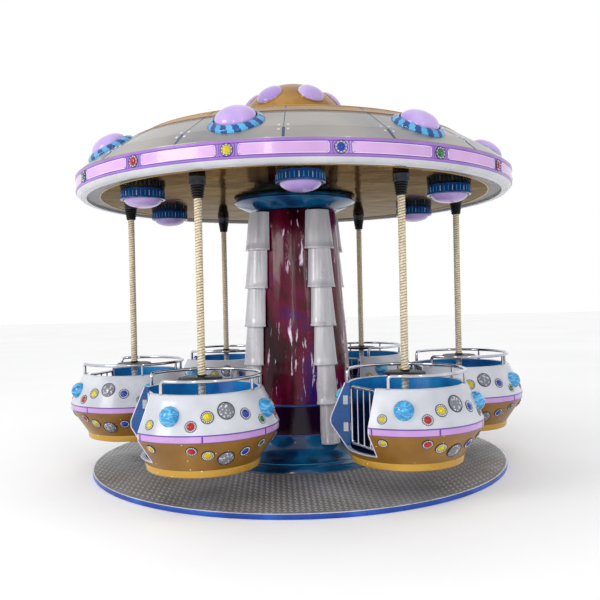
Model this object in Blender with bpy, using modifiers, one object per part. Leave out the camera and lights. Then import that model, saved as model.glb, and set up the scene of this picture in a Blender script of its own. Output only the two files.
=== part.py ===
"""Chair swing ride with six tub cabins under a saucer canopy. Metres, +Z up, the entrance side at -Y.

The platform and the column stand still. The canopy turns on the column, six poles swing from its ceiling,
a tub turns on each pole, and a barred gate opens into each tub. The origin is the centre of the underside.
"""

import math

import bmesh
import bpy
from mathutils import Matrix, Vector

# Driving dimensions
TUBS = 6
POLE_ORBIT = 1.45  # radius on which the poles hang
PLATFORM_RADIUS = 1.775
PLATFORM_HEIGHT = 0.034
DECK_THICKNESS = 0.005
CANOPY_RADIUS = 1.861
CEILING_HEIGHT = 2.285
FASCIA_TOP = 2.421
DOME_TOP = 3.302
TUB_RADIUS = 0.541
TUB_BOTTOM = 0.252
TUB_RIM = 0.800
DOOR_HALF_ANGLE = math.radians(28.5)
# Azimuth of each tub's doorway, counted from -Y towards +X, in the order of the poles
TUB_YAWS = [math.radians(a) for a in (-66, -88, -37, -93.5, -113, -73.5)]
POLE_AZIMUTHS = [math.radians(30 + 60 * i) for i in range(TUBS)]

GAP = 0.0003  # between pieces that touch
BIG_STEPS, MIDDLE_STEPS, SMALL_STEPS = 48, 28, 10

# Platform and column
DECK_TOP = PLATFORM_HEIGHT + GAP + DECK_THICKNESS
BELL_BOTTOM = DECK_TOP + GAP
BELL_TOP = 0.285
COLUMN_BOTTOM = BELL_TOP + GAP
COLUMN_TOP = 2.165
COLUMN_FOOT_RADIUS, COLUMN_HEAD_RADIUS = 0.492, 0.358
SPINE_AZIMUTHS = [math.radians(a) for a in (27.7, 126.4, 207.7, 306.4)]  # two facing pairs
SPINE_CUPS = 6
CUP_WIDTH, CUP_DEPTH = 0.089, 0.083  # half-width and depth at the lowest lip
CUP_GROWTH = 0.099  # share by which each cup is larger than the lowest, for each step up
CUP_TOP_WIDTH, CUP_TOP_DEPTH = 0.80, 0.93  # a cup's top as a share of its lip
SPINE_BOTTOM, SPINE_TOP = 0.205, 2.15

# Canopy
CEILING_THICKNESS = 0.017
CEILING_RADIUS = 1.775
RING_BOTTOM = 2.268
RING_RADIUS = 1.850
SHOULDER = (1.760, 2.515)  # where the steep skirt of the cap meets its slope
GOLD_BORDER = (1.475, 2.693)
GOLD_BREAK = (1.350, 2.762)
DOME_FOOT = (0.470, 3.000)
DOME_SPHERE = 0.505
WINDOWS, WINDOW_AZIMUTH, WINDOW_ELEVATION = 6, math.radians(-35), math.radians(44.5)
WINDOW_RADIUS, WINDOW_BULGE = 0.125, 0.040
COLLAR_BOTTOM = 2.175
COLLAR_RADIUS, COLLAR_FOOT_RADIUS = 0.535, 0.372
COLLAR_EDGE = (2.248, 2.262)  # heights between which the collar's rim is upright
TOP_LAMPS, TOP_LAMP_ORBIT, TOP_LAMP_AZIMUTH = 8, 1.645, math.radians(-15)
TOP_LAMP_RING, TOP_LAMP_DOME = 0.195, 0.140
TOP_LAMP_RING_HEIGHT, TOP_LAMP_DOME_HEIGHT = 0.034, 0.072
TOP_LAMP_DEPTH = 0.050  # how far the lamp's foot is sunk into the cap
CEILING_LAMPS, CEILING_LAMP_ORBIT = 6, 1.40
CEILING_LAMP_RING, CEILING_LAMP_DOME = 0.175, 0.145
CEILING_LAMP_RING_BOTTOM, CEILING_LAMP_BOTTOM = 2.207, 2.147
ROOT = 0.006  # how far lamps and sockets reach into the ceiling

# Poles, their ball joints and hand discs
PIVOT_HEIGHT = 2.215
POLE_RADIUS, NECK_RADIUS, BALL_RADIUS = 0.0275, 0.012, 0.034
NECK_LENGTH = 0.078
SOCKET_RADIUS, SOCKET_OUTER = 0.0385, 0.060
SOCKET_LIP = 0.015  # how far the socket wraps under the ball's centre
DISC_RADIUS, DISC_BOTTOM, DISC_TOP = 0.148, 0.850, 0.874
FOOT_RADIUS = 0.060
PLAY = 0.006  # between the tub's floor and the pole's foot

# Tubs
RIM_OUTER, RIM_INNER = 0.432, 0.398
BAND_BOTTOM, BAND_TOP = 0.510, 0.552
BASE_RADIUS, BASE_TOP = 0.404, 0.303
FLOOR_BOTTOM, FLOOR_TOP = 0.285, 0.310
SILL = 0.345
HUB_HOLE, RECESS_RADIUS = 0.024, 0.370  # the pole's hole, and the hollow under the floor
BENCH_TOP, BENCH_INNER = 0.510, 0.240
BENCH_HALF_ANGLE = math.radians(87)
BALL_AZIMUTHS = [math.radians(a) for a in (-139, -54, 54, 139)]
BALL_SIZE, BALL_DROP, BALL_INSET = 0.068, 0.52, 0.007
RAIL_RADIUS, RAIL_HEIGHT, RAIL_ORBIT = 0.0125, 0.886, 0.420
RAIL_GAP = math.radians(40)  # half of the rail's opening at the door
RAIL_POSTS = [math.radians(a) for a in (133, 180, 227)]  # between the rail's two ends

# Gates
GATE_BOTTOM, GATE_TOP, GATE_BARS = 0.372, 0.775, 3
GATE_TUBE, GATE_BAR = 0.0125, 0.007
GATE_PLANE = 0.352  # distance of the gate from the pole
HINGE_PIN = (-0.178, -GATE_PLANE)
GATE_NEAR, GATE_FAR = 0.019, 0.348  # the gate's two uprights, from the hinge pin
HINGE_HEIGHTS = (0.482, 0.675)
KNUCKLE = 0.012  # half the height of a hinge's middle knuckle


def clear_scene():
    for old in list(bpy.data.objects):
        bpy.data.objects.remove(old, do_unlink=True)


def new_collection(name):
    collection = bpy.data.collections.new(name)
    bpy.context.scene.collection.children.link(collection)
    return collection


def material(name, colour, roughness, metallic=0.0):
    made = bpy.data.materials.new(name)
    made.use_nodes = True
    shader = made.node_tree.nodes["Principled BSDF"]
    shader.inputs["Base Color"].default_value = (*colour, 1.0)
    shader.inputs["Roughness"].default_value = roughness
    shader.inputs["Metallic"].default_value = metallic
    return made


def link(name, mesh, collection):
    made = bpy.data.objects.new(name, mesh)
    collection.objects.link(made)
    return made


def helper(name, mesh):
    """An object that only cuts or adds to another."""
    made = link(name, mesh, CUTTERS)
    made.hide_render = True
    made.display_type = "WIRE"
    return made


def profile_mesh(name, points, closed):
    """Edges in the XZ plane, given as (radius, height) pairs."""
    mesh = bpy.data.meshes.new(name)
    edges = [(i, i + 1) for i in range(len(points) - 1)]
    if closed:
        edges.append((len(points) - 1, 0))
    mesh.from_pydata([(r, 0.0, z) for r, z in points], edges, [])
    return mesh


def screw(made, steps, angle=math.tau):
    turn = made.modifiers.new("turn", "SCREW")
    turn.steps = steps
    turn.render_steps = steps
    turn.angle = angle
    turn.use_merge_vertices = True
    turn.merge_threshold = 0.0001
    turn.use_smooth_shade = True
    return made


def baked(made):
    """The object's evaluated mesh with outward normals. The object itself is removed."""
    bpy.context.view_layer.update()
    graph = bpy.context.evaluated_depsgraph_get()
    mesh = bpy.data.meshes.new_from_object(made.evaluated_get(graph))
    mesh.name = made.name
    mesh.transform(made.matrix_world)
    bpy.data.objects.remove(made, do_unlink=True)
    work = bmesh.new()
    work.from_mesh(mesh)
    bmesh.ops.remove_doubles(work, verts=work.verts, dist=0.00001)
    bmesh.ops.recalc_face_normals(work, faces=work.faces)
    work.to_mesh(mesh)
    work.free()
    mesh.shade_smooth()
    mesh.set_sharp_from_angle(angle=math.radians(35))
    return mesh


def turned(name, points, steps, closed=False):
    """A turned solid: an open profile that starts and ends on the axis, or a closed one for a ring."""
    return baked(screw(helper(name, profile_mesh(name, points, closed)), steps))


def tube(name, points, radius, sides_level=1, cyclic=False):
    """A round bar along a line of points."""
    curve = bpy.data.curves.new(name, "CURVE")
    curve.dimensions = "3D"
    curve.bevel_depth = radius
    curve.bevel_resolution = sides_level
    curve.use_fill_caps = True
    line = curve.splines.new("POLY")
    line.points.add(len(points) - 1)
    for point, place in zip(line.points, points):
        point.co = (*place, 1.0)
    line.use_cyclic_u = cyclic
    return baked(helper(name, curve))


def boolean(base, other, operation):
    """The mesh of base with other added to it or cut from it."""
    body = helper(base.name, base)
    tool = helper(other.name, other)
    step = body.modifiers.new(operation.lower(), "BOOLEAN")
    step.operation = operation
    step.object = tool
    made = baked(body)
    bpy.data.objects.remove(tool, do_unlink=True)
    return made


def joined(base, others):
    for other in others:
        base = boolean(base, other, "UNION")
    return base


def placed(mesh, matrix):
    made = mesh.copy()
    made.transform(matrix)
    return made


def grouped(name, meshes):
    """Several meshes that don't touch, as one, to use as a single operand."""
    work = bmesh.new()
    for mesh in meshes:
        work.from_mesh(mesh)
    made = bpy.data.meshes.new(name)
    work.to_mesh(made)
    work.free()
    return made


def at(azimuth, radius, height=0.0):
    """A place on a circle, with azimuth 0 at -Y and growing towards +X."""
    return Vector((radius * math.sin(azimuth), -radius * math.cos(azimuth), height))


def node(name, mesh, finish, parent=None):
    """One sub-part. Its mesh is in its parent's coordinates."""
    made = link(name, mesh, PARTS)
    mesh.materials.clear()
    mesh.materials.append(finish)
    made.parent = parent
    return made


def empty(name, place, parent=None, turn=0.0):
    made = bpy.data.objects.new(name, None)
    PARTS.objects.link(made)
    made.parent = parent
    made.location = place
    made.rotation_euler = (0.0, 0.0, turn)
    return made


def sphere_points(radius, centre_height, start, end, count):
    """Profile points along a sphere, from angle start to end above its equator."""
    angles = [start + (end - start) * i / count for i in range(count + 1)]
    return [(radius * math.cos(a), centre_height + radius * math.sin(a)) for a in angles]


def bell_points():
    """The bell's flared skirt with a small ledge above its rounded foot."""
    flare = []
    for i in range(5):
        t = i / 4
        flare.append((0.505 + 0.195 * t**1.7, BELL_TOP - (BELL_TOP - 0.092) * (1 - (1 - t) ** 1.6)))
    foot = [(0.735, 0.084), (0.765, 0.072), (0.780, 0.052), (0.782, BELL_BOTTOM)]
    return [(0.0, BELL_TOP)] + flare + foot + [(0.0, BELL_BOTTOM)]


def column_radius(height):
    share = (height - COLUMN_BOTTOM) / (COLUMN_TOP - COLUMN_BOTTOM)
    return COLUMN_FOOT_RADIUS + (COLUMN_HEAD_RADIUS - COLUMN_FOOT_RADIUS) * share


def bell_radius(height):
    """Outer radius of the bell's skirt at a height."""
    points = [p for p in bell_points() if p[0] > 0]
    for (r0, z0), (r1, z1) in zip(points, points[1:]):
        if z1 <= height <= z0:
            return r0 + (r1 - r0) * (z0 - height) / (z0 - z1)
    return points[0][0]


def spine_mesh():
    """A stack of cups, each wider at its lip, that leans against the column. Made along -Y."""
    pitch = (SPINE_TOP - SPINE_BOTTOM) / SPINE_CUPS
    rings = []
    for i in range(SPINE_CUPS):
        low = SPINE_BOTTOM + pitch * i
        width, depth = (size * (1 + CUP_GROWTH * i) for size in (CUP_WIDTH, CUP_DEPTH))
        top = (low + pitch, width * CUP_TOP_WIDTH, depth * CUP_TOP_DEPTH)
        for height, half_width, reach in ((low, width, depth), top):
            back = column_radius(max(height, COLUMN_BOTTOM)) + 0.002
            if height < COLUMN_BOTTOM:
                back = bell_radius(height) + 0.002
            rings.append((height, half_width, back, reach))
    work = bmesh.new()
    sides = 8
    loops = []
    for height, half_width, back, depth in rings:
        loop = []
        for k in range(sides + 1):
            a = math.pi * k / sides
            x = half_width * math.cos(a)
            loop.append(work.verts.new((x, -back - depth * math.sin(a) ** 0.8, height)))
        loops.append(loop)
    for lower, upper in zip(loops, loops[1:]):
        for k in range(sides):
            work.faces.new((lower[k + 1], lower[k], upper[k], upper[k + 1]))
        work.faces.new((lower[0], lower[-1], upper[-1], upper[0]))
    work.faces.new(loops[0])
    work.faces.new(loops[-1][::-1])
    mesh = bpy.data.meshes.new("spine")
    bmesh.ops.recalc_face_normals(work, faces=work.faces)
    work.to_mesh(mesh)
    work.free()
    return mesh


def build_base():
    flat = [(0.0, PLATFORM_HEIGHT), (PLATFORM_RADIUS, PLATFORM_HEIGHT), (PLATFORM_RADIUS, 0.0), (0.0, 0.0)]
    node("platform", turned("platform", flat, BIG_STEPS), ROYAL_BLUE)
    low = PLATFORM_HEIGHT + GAP
    plate = [(0.0, DECK_TOP), (PLATFORM_RADIUS, DECK_TOP), (PLATFORM_RADIUS, low), (0.0, low)]
    node("deck_plate", turned("deck_plate", plate, BIG_STEPS), CHEQUER_STEEL)
    node("column_bell", turned("column_bell", bell_points(), MIDDLE_STEPS), DEEP_BLUE)
    shaft = [(0.0, COLUMN_TOP), (COLUMN_HEAD_RADIUS, COLUMN_TOP)]
    shaft += [(COLUMN_FOOT_RADIUS, COLUMN_BOTTOM), (0.0, COLUMN_BOTTOM)]
    node("column_shell", turned("column_shell", shaft, BIG_STEPS), MAGENTA)
    for i, azimuth in enumerate(SPINE_AZIMUTHS, start=1):
        node(f"spine_{i}", placed(spine_mesh(), Matrix.Rotation(azimuth, 4, "Z")), WHITE)


def cap_points():
    """The cap's slope and its steeper skirt, which ends in a short upright edge on the fascia."""
    low = FASCIA_TOP + GAP
    edge = CANOPY_RADIUS - 0.001
    return [(0.0, GOLD_BORDER[1]), GOLD_BORDER, SHOULDER, (edge, low + 0.006), (edge, low), (0.0, low)]


def slope_at(radius):
    """Height of the cap's slope at a radius."""
    (r0, z0), (r1, z1) = SHOULDER, GOLD_BORDER
    return z0 + (z1 - z0) * (r0 - radius) / (r0 - r1)


def lamp_mesh(name, ring_radius, dome_radius, ring_height, dome_height, depth):
    """A lamp that looks up: a flared ring with a dome in it. The foot goes depth below zero."""
    points = [(0.0, ring_height + dome_height)]
    points += [
        (dome_radius * math.sin(a), ring_height + dome_height * math.cos(a))
        for a in (math.radians(d) for d in (45, 90))
    ]
    points += [(ring_radius, ring_height), (ring_radius * 0.97, 0.0)]
    points += [(ring_radius * 0.80, -depth), (0.0, -depth)]
    return turned(name, points, 12)


def build_canopy(axis):
    top = CEILING_HEIGHT + CEILING_THICKNESS
    ceiling = [(0.0, top), (CEILING_RADIUS, top), (CEILING_RADIUS, CEILING_HEIGHT), (0.0, CEILING_HEIGHT)]
    panel = turned("ceiling_panel", ceiling, BIG_STEPS)
    drop = CEILING_HEIGHT - CEILING_LAMP_RING_BOTTOM
    bulge = CEILING_LAMP_RING_BOTTOM - CEILING_LAMP_BOTTOM
    lamp = lamp_mesh("ceiling_lamp", CEILING_LAMP_RING, CEILING_LAMP_DOME, drop, bulge, ROOT)
    lamp.transform(Matrix.Rotation(math.pi, 4, "X"))
    lamps = []
    for i in range(CEILING_LAMPS):
        place = at(math.tau * i / CEILING_LAMPS, CEILING_LAMP_ORBIT, CEILING_HEIGHT)
        lamps.append(placed(lamp, Matrix.Translation(place)))
    socket = socket_mesh()
    sockets = [placed(socket, Matrix.Translation(at(a, POLE_ORBIT))) for a in POLE_AZIMUTHS]
    panel = joined(panel, [grouped("ceiling_lamps", lamps), grouped("pole_sockets", sockets)])
    node("ceiling_panel", panel, MIRROR_GOLD, axis)

    inner = CEILING_RADIUS + GAP
    ring = [(inner, top), (RING_RADIUS, top), (RING_RADIUS - 0.002, top - 0.008)]
    ring += [(RING_RADIUS - 0.030, RING_BOTTOM), (inner, RING_BOTTOM)]
    node("rim_ring", turned("rim_ring", ring, BIG_STEPS, closed=True), WHITE, axis)

    low = top + GAP
    edge = CANOPY_RADIUS
    band = [(0.0, FASCIA_TOP), (edge, FASCIA_TOP), (edge, FASCIA_TOP - 0.012)]
    band += [(edge - 0.005, FASCIA_TOP - 0.016), (edge - 0.007, low + 0.016)]
    band += [(edge - 0.003, low + 0.012), (edge - 0.006, low), (0.0, low)]
    node("fascia_band", turned("fascia_band", band, BIG_STEPS), LILAC, axis)

    cap = turned("canopy_cap", cap_points(), BIG_STEPS)
    slope = math.atan2(GOLD_BORDER[1] - SHOULDER[1], SHOULDER[0] - GOLD_BORDER[0])
    sizes = (TOP_LAMP_RING_HEIGHT, TOP_LAMP_DOME_HEIGHT, TOP_LAMP_DEPTH)
    lamp = lamp_mesh("top_lamp", TOP_LAMP_RING, TOP_LAMP_DOME, *sizes)
    lamps = []
    for i in range(TOP_LAMPS):
        azimuth = TOP_LAMP_AZIMUTH + math.tau * i / TOP_LAMPS
        tilt = Matrix.Rotation(azimuth, 4, "Z") @ Matrix.Rotation(slope, 4, "X")
        seat = Matrix.Translation(at(azimuth, TOP_LAMP_ORBIT, slope_at(TOP_LAMP_ORBIT))) @ tilt
        lamps.append(placed(lamp, seat))
    node("canopy_cap", joined(cap, [grouped("top_lamps", lamps)]), SILVER, axis)

    low = GOLD_BORDER[1] + GAP
    crown = [(0.0, DOME_FOOT[1]), DOME_FOOT, GOLD_BREAK, (GOLD_BORDER[0], low), (0.0, low)]
    node("canopy_crown", turned("canopy_crown", crown, BIG_STEPS), GOLD, axis)
    node("crown_dome", dome_mesh(), GOLD, axis)

    top = CEILING_HEIGHT - GAP
    low_edge, high_edge = COLLAR_EDGE
    collar = [(0.0, top), (COLLAR_RADIUS - 0.02, top), (COLLAR_RADIUS, high_edge), (COLLAR_RADIUS, low_edge)]
    collar += [(COLLAR_FOOT_RADIUS, COLLAR_BOTTOM), (0.0, COLLAR_BOTTOM)]
    node("ceiling_collar", turned("ceiling_collar", collar, MIDDLE_STEPS), DEEP_BLUE, axis)


def dome_mesh():
    """The top dome with six round windows that bulge from it."""
    centre = DOME_TOP - DOME_SPHERE
    low = DOME_FOOT[1] + GAP
    low_angle = math.asin((low - centre) / DOME_SPHERE)
    outline = [(0.0, low)] + sphere_points(DOME_SPHERE, centre, low_angle, math.pi / 2, 6)
    outline[-1] = (0.0, DOME_TOP)
    # A window's plane is where a circle of its radius lies on the sphere
    plane = math.sqrt(DOME_SPHERE**2 - WINDOW_RADIUS**2)
    panes = []
    for i in range(WINDOWS):
        work = bmesh.new()
        bmesh.ops.create_uvsphere(work, u_segments=12, v_segments=6, radius=WINDOW_RADIUS)
        bulge = DOME_SPHERE - plane + WINDOW_BULGE
        bmesh.ops.scale(work, vec=(1.0, 1.0, bulge / WINDOW_RADIUS), verts=work.verts)
        pane = bpy.data.meshes.new("window")
        work.to_mesh(pane)
        work.free()
        azimuth = WINDOW_AZIMUTH + math.tau * i / WINDOWS
        tip = Matrix.Rotation(math.pi / 2 - WINDOW_ELEVATION, 4, "X")
        pane.transform(tip @ Matrix.Translation((0.0, 0.0, plane)))
        pane.transform(Matrix.Translation((0.0, 0.0, centre)) @ Matrix.Rotation(azimuth, 4, "Z"))
        panes.append(pane)
    dome = turned("crown_dome", outline[::-1], MIDDLE_STEPS)
    return joined(dome, [grouped("windows", panes)])


def socket_mesh():
    """The cup under the ceiling that holds a pole's ball. It wraps under the ball and stays open below."""
    low = PIVOT_HEIGHT - SOCKET_LIP
    low_angle = -math.asin(SOCKET_LIP / SOCKET_RADIUS)
    inside = sphere_points(SOCKET_RADIUS, PIVOT_HEIGHT, low_angle, math.pi / 2, 4)
    inside[-1] = (0.0, PIVOT_HEIGHT + SOCKET_RADIUS)
    points = [(0.0, CEILING_HEIGHT + ROOT), (SOCKET_OUTER, CEILING_HEIGHT + ROOT)]
    points += [(SOCKET_OUTER, low + 0.012), (SOCKET_OUTER - 0.012, low)] + inside
    return turned("pole_socket", points, SMALL_STEPS)


def pole_mesh():
    """A pole with its ball at the top, and at the foot the flange that the tub's floor rests on."""
    ball = sphere_points(BALL_RADIUS, 0.0, math.pi / 2, -math.acos(NECK_RADIUS / BALL_RADIUS), 5)
    ball[0] = (0.0, BALL_RADIUS)
    shaft_end = FLOOR_TOP + PLAY - PIVOT_HEIGHT
    flange_top = FLOOR_BOTTOM - PLAY - PIVOT_HEIGHT
    flange_low = TUB_BOTTOM + 0.004 - PIVOT_HEIGHT
    points = ball + [(NECK_RADIUS, -NECK_LENGTH), (POLE_RADIUS, -NECK_LENGTH - 0.006)]
    points += [(POLE_RADIUS, shaft_end), (HUB_HOLE - 0.003, shaft_end), (HUB_HOLE - 0.003, flange_top)]
    points += [(FOOT_RADIUS, flange_top), (FOOT_RADIUS, flange_low), (0.0, flange_low)]
    return turned("pole", points, SMALL_STEPS)


def disc_mesh():
    """The round hand disc, with a hole for the pole."""
    hole = POLE_RADIUS + GAP
    low, high = DISC_BOTTOM - PIVOT_HEIGHT, DISC_TOP - PIVOT_HEIGHT
    points = [(hole, high), (DISC_RADIUS - 0.006, high), (DISC_RADIUS, high - 0.010)]
    points += [(DISC_RADIUS - 0.006, low), (hole, low)]
    return turned("hand_disc", points, 20, closed=True)


def sector(name, inner, outer, centre, half_angle, low, high, steps=8):
    """A block between two radii and two azimuths, as a turned rectangle."""
    outline = [(inner, high), (outer, high), (outer, low), (inner, low)]
    body = screw(helper(name, profile_mesh(name, outline, True)), steps, 2 * half_angle)
    fill = bmesh.new()
    mesh = baked(body)
    fill.from_mesh(mesh)
    bmesh.ops.holes_fill(fill, edges=[e for e in fill.edges if e.is_boundary])
    bmesh.ops.recalc_face_normals(fill, faces=fill.faces)
    # The profile starts at +X, so -Y lies a quarter turn before it
    turn = Matrix.Rotation(centre - half_angle - math.pi / 2, 4, "Z")
    fill.to_mesh(mesh)
    fill.free()
    mesh.transform(turn)
    return mesh


def block(size, centre):
    """A box by its size and centre."""
    work = bmesh.new()
    bmesh.ops.create_cube(work, size=1.0)
    bmesh.ops.scale(work, vec=size, verts=work.verts)
    bmesh.ops.translate(work, vec=centre, verts=work.verts)
    made = bpy.data.meshes.new("block")
    work.to_mesh(made)
    work.free()
    return made


def jamb_knuckles():
    """The fixed halves of the gate's hinges: knuckles above and below the gate's own, rooted in the jamb."""
    pin = Vector((*HINGE_PIN, 0.0))
    away = at(-DOOR_HALF_ANGLE - math.radians(60), 1.0)
    turn = Matrix.Rotation(math.atan2(away.y, away.x), 4, "Z")
    reach, width = 0.027, 0.008
    made = []
    for height in HINGE_HEIGHTS:
        for side in (-1, 1):
            middle = height + side * (1.5 * KNUCKLE + 0.002)
            bar = block((reach, width, KNUCKLE), ((reach - width) / 2, 0.0, middle))
            made.append(placed(bar, Matrix.Translation(pin) @ turn))
    return grouped("jamb_knuckles", made)


def tub_points():
    """The tub's wall and floor: an outward fold at the band, and a plain cylinder inside."""
    outside = [(RIM_INNER, TUB_RIM - 0.004), (RIM_INNER + 0.003, TUB_RIM), (RIM_OUTER, TUB_RIM)]
    outside += [(TUB_RADIUS, BAND_TOP), (TUB_RADIUS, BAND_BOTTOM), (BASE_RADIUS, BASE_TOP)]
    outside += [(BASE_RADIUS - 0.004, TUB_BOTTOM + 0.006), (BASE_RADIUS - 0.012, TUB_BOTTOM)]
    below = [(RECESS_RADIUS, TUB_BOTTOM), (RECESS_RADIUS, FLOOR_BOTTOM), (HUB_HOLE, FLOOR_BOTTOM)]
    return outside + below + [(HUB_HOLE, FLOOR_TOP), (RIM_INNER, FLOOR_TOP)]


def cone_point(drop):
    """Radius and height on the upper cone, with drop 0 at the rim and 1 at the band."""
    return RIM_OUTER + (TUB_RADIUS - RIM_OUTER) * drop, TUB_RIM + (BAND_TOP - TUB_RIM) * drop


def tub_mesh():
    wall = turned("tub", tub_points(), MIDDLE_STEPS, closed=True)
    overlap = 0.005  # into the floor and the wall, so that they fuse
    low = FLOOR_TOP - overlap
    outer = RIM_INNER + 2 * overlap
    bench = sector("bench", BENCH_INNER, outer, math.pi, BENCH_HALF_ANGLE, low, BENCH_TOP, 12)
    wall = boolean(wall, bench, "UNION")
    doorway = sector("doorway", 0.30, 0.70, 0.0, DOOR_HALF_ANGLE, SILL, TUB_RIM + 0.1)
    wall = boolean(wall, doorway, "DIFFERENCE")
    radius, height = cone_point(BALL_DROP)
    balls = []
    for azimuth in BALL_AZIMUTHS:
        work = bmesh.new()
        bmesh.ops.create_uvsphere(work, u_segments=10, v_segments=6, radius=BALL_SIZE)
        ball = bpy.data.meshes.new("ball")
        work.to_mesh(ball)
        work.free()
        face_out = Matrix.Rotation(azimuth, 4, "Z") @ Matrix.Rotation(math.pi / 2, 4, "X")
        ball.transform(Matrix.Translation(at(azimuth, radius - BALL_INSET, height)) @ face_out)
        balls.append(ball)
    return joined(wall, [grouped("balls", balls), jamb_knuckles()])


def rail_mesh():
    """A round bar that rises at one side of the door, follows the rim and comes down at the other."""
    foot = TUB_RIM + GAP
    start, end = RAIL_GAP, math.tau - RAIL_GAP
    bend = 0.03
    count = 20
    line = [at(start, RAIL_ORBIT, foot), at(start, RAIL_ORBIT, RAIL_HEIGHT - bend)]
    for i in range(count + 1):
        share = i / count
        azimuth = start + bend / RAIL_ORBIT + (end - start - 2 * bend / RAIL_ORBIT) * share
        line.append(at(azimuth, RAIL_ORBIT, RAIL_HEIGHT))
    line += [at(end, RAIL_ORBIT, RAIL_HEIGHT - bend), at(end, RAIL_ORBIT, foot)]
    ring = tube("handrail", line, RAIL_RADIUS)
    posts = []
    for azimuth in RAIL_POSTS:
        ends = [at(azimuth, RAIL_ORBIT, foot), at(azimuth, RAIL_ORBIT, RAIL_HEIGHT - 0.004)]
        posts.append(tube("post", ends, RAIL_RADIUS * 0.8))
    return joined(ring, [grouped("posts", posts)])


def gate_mesh():
    """A flat barred gate in its hinge's coordinates: +X runs from the hinge along the closed gate."""
    left, right = GATE_NEAR, GATE_FAR
    corner = 0.02
    loop = []
    for cx, cz, start in (
        (right - corner, GATE_TOP - corner, 0.0),
        (left + corner, GATE_TOP - corner, math.pi / 2),
        (left + corner, GATE_BOTTOM + corner, math.pi),
        (right - corner, GATE_BOTTOM + corner, 3 * math.pi / 2),
    ):
        for k in range(3):
            a = start + math.pi / 4 * k
            loop.append(Vector((cx + corner * math.cos(a), 0.0, cz + corner * math.sin(a))))
    frame = tube("gate", loop, GATE_TUBE, cyclic=True)
    bars = []
    for i in range(GATE_BARS):
        x = left + (right - left) * (i + 1) / (GATE_BARS + 1)
        bars.append(tube("bar", [Vector((x, 0, GATE_BOTTOM)), Vector((x, 0, GATE_TOP))], GATE_BAR))
    leaves = [block((left + 0.005, 0.010, 2 * KNUCKLE), (left / 2 - 0.0025, 0.0, h)) for h in HINGE_HEIGHTS]
    return joined(frame, [grouped("bars", bars), grouped("leaves", leaves)])


def build_hangers(axis):
    pole, disc, tub, rail, gate = pole_mesh(), disc_mesh(), tub_mesh(), rail_mesh(), gate_mesh()
    for i, (azimuth, yaw) in enumerate(zip(POLE_AZIMUTHS, TUB_YAWS), start=1):
        pivot = empty(f"pole_pivot_{i}", at(azimuth, POLE_ORBIT, PIVOT_HEIGHT), axis)
        node(f"pole_{i}", pole.copy(), ROPE, pivot)
        node(f"hand_disc_{i}", disc.copy(), BLACK_RUBBER, pivot)
        spin = empty(f"tub_axis_{i}", (0.0, 0.0, -PIVOT_HEIGHT), pivot, yaw)
        node(f"tub_{i}", tub.copy(), WHITE, spin)
        node(f"handrail_{i}", rail.copy(), CHROME, spin)
        hinge = empty(f"gate_hinge_{i}", (*HINGE_PIN, 0.0), spin)
        node(f"gate_{i}", gate.copy(), CHROME, hinge)


clear_scene()
PARTS = new_collection("chair_swing_ride")
CUTTERS = new_collection("cutters")
ROYAL_BLUE = material("royal_blue", (0.02, 0.12, 0.55), 0.35)
DEEP_BLUE = material("deep_blue", (0.01, 0.16, 0.36), 0.2, 0.4)
CHEQUER_STEEL = material("chequer_steel", (0.68, 0.68, 0.70), 0.35, 0.9)
MAGENTA = material("magenta", (0.18, 0.01, 0.10), 0.12, 0.3)
WHITE = material("white_gelcoat", (0.85, 0.86, 0.88), 0.2)
LILAC = material("lilac", (0.55, 0.36, 0.78), 0.25)
SILVER = material("silver_paint", (0.45, 0.44, 0.43), 0.35, 0.5)
GOLD = material("gold_paint", (0.52, 0.33, 0.08), 0.3, 0.5)
MIRROR_GOLD = material("mirror_gold", (0.30, 0.22, 0.12), 0.08, 1.0)
ROPE = material("rope", (0.80, 0.74, 0.60), 0.8)
BLACK_RUBBER = material("black_rubber", (0.02, 0.02, 0.02), 0.5)
CHROME = material("chrome", (0.8, 0.8, 0.82), 0.08, 1.0)

build_base()
ROTOR_AXIS = empty("rotor_axis", (0.0, 0.0, 0.0))
build_canopy(ROTOR_AXIS)
build_hangers(ROTOR_AXIS)
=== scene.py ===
# %% [markdown]
# # Chair swing ride
# A saucer canopy turns on a fixed column, six poles hang from its ceiling, and a tub with a barred gate
# turns on each pole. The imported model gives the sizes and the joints. This lesson makes the skin that is
# seen: turned shells, tubes, gems and painted finishes, each piece riding on its own moving body.

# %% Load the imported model
import math

import bmesh
import bpy
import numpy as np
from mathutils import Matrix, Vector, noise


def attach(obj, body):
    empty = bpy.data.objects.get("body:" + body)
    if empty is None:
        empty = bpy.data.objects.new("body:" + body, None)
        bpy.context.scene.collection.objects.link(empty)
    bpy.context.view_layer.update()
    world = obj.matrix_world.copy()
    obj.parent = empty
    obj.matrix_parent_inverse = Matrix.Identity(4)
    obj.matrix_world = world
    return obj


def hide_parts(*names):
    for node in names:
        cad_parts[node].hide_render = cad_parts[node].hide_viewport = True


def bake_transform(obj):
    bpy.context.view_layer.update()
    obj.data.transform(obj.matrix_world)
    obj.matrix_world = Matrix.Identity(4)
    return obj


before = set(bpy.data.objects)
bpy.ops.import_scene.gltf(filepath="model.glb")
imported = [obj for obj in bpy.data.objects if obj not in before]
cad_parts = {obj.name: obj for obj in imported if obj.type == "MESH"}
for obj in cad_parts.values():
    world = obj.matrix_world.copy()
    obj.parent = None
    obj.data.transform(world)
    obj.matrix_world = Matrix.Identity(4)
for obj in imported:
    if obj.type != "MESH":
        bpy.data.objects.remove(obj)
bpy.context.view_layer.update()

# %% [markdown]
# ## Camera
# The view was found by fitting the round rims: the eye is at a grown-up's chest height, almost level, and
# leans a little to one side. The matrix is written from its three directions, so nothing is left to chance.

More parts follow.
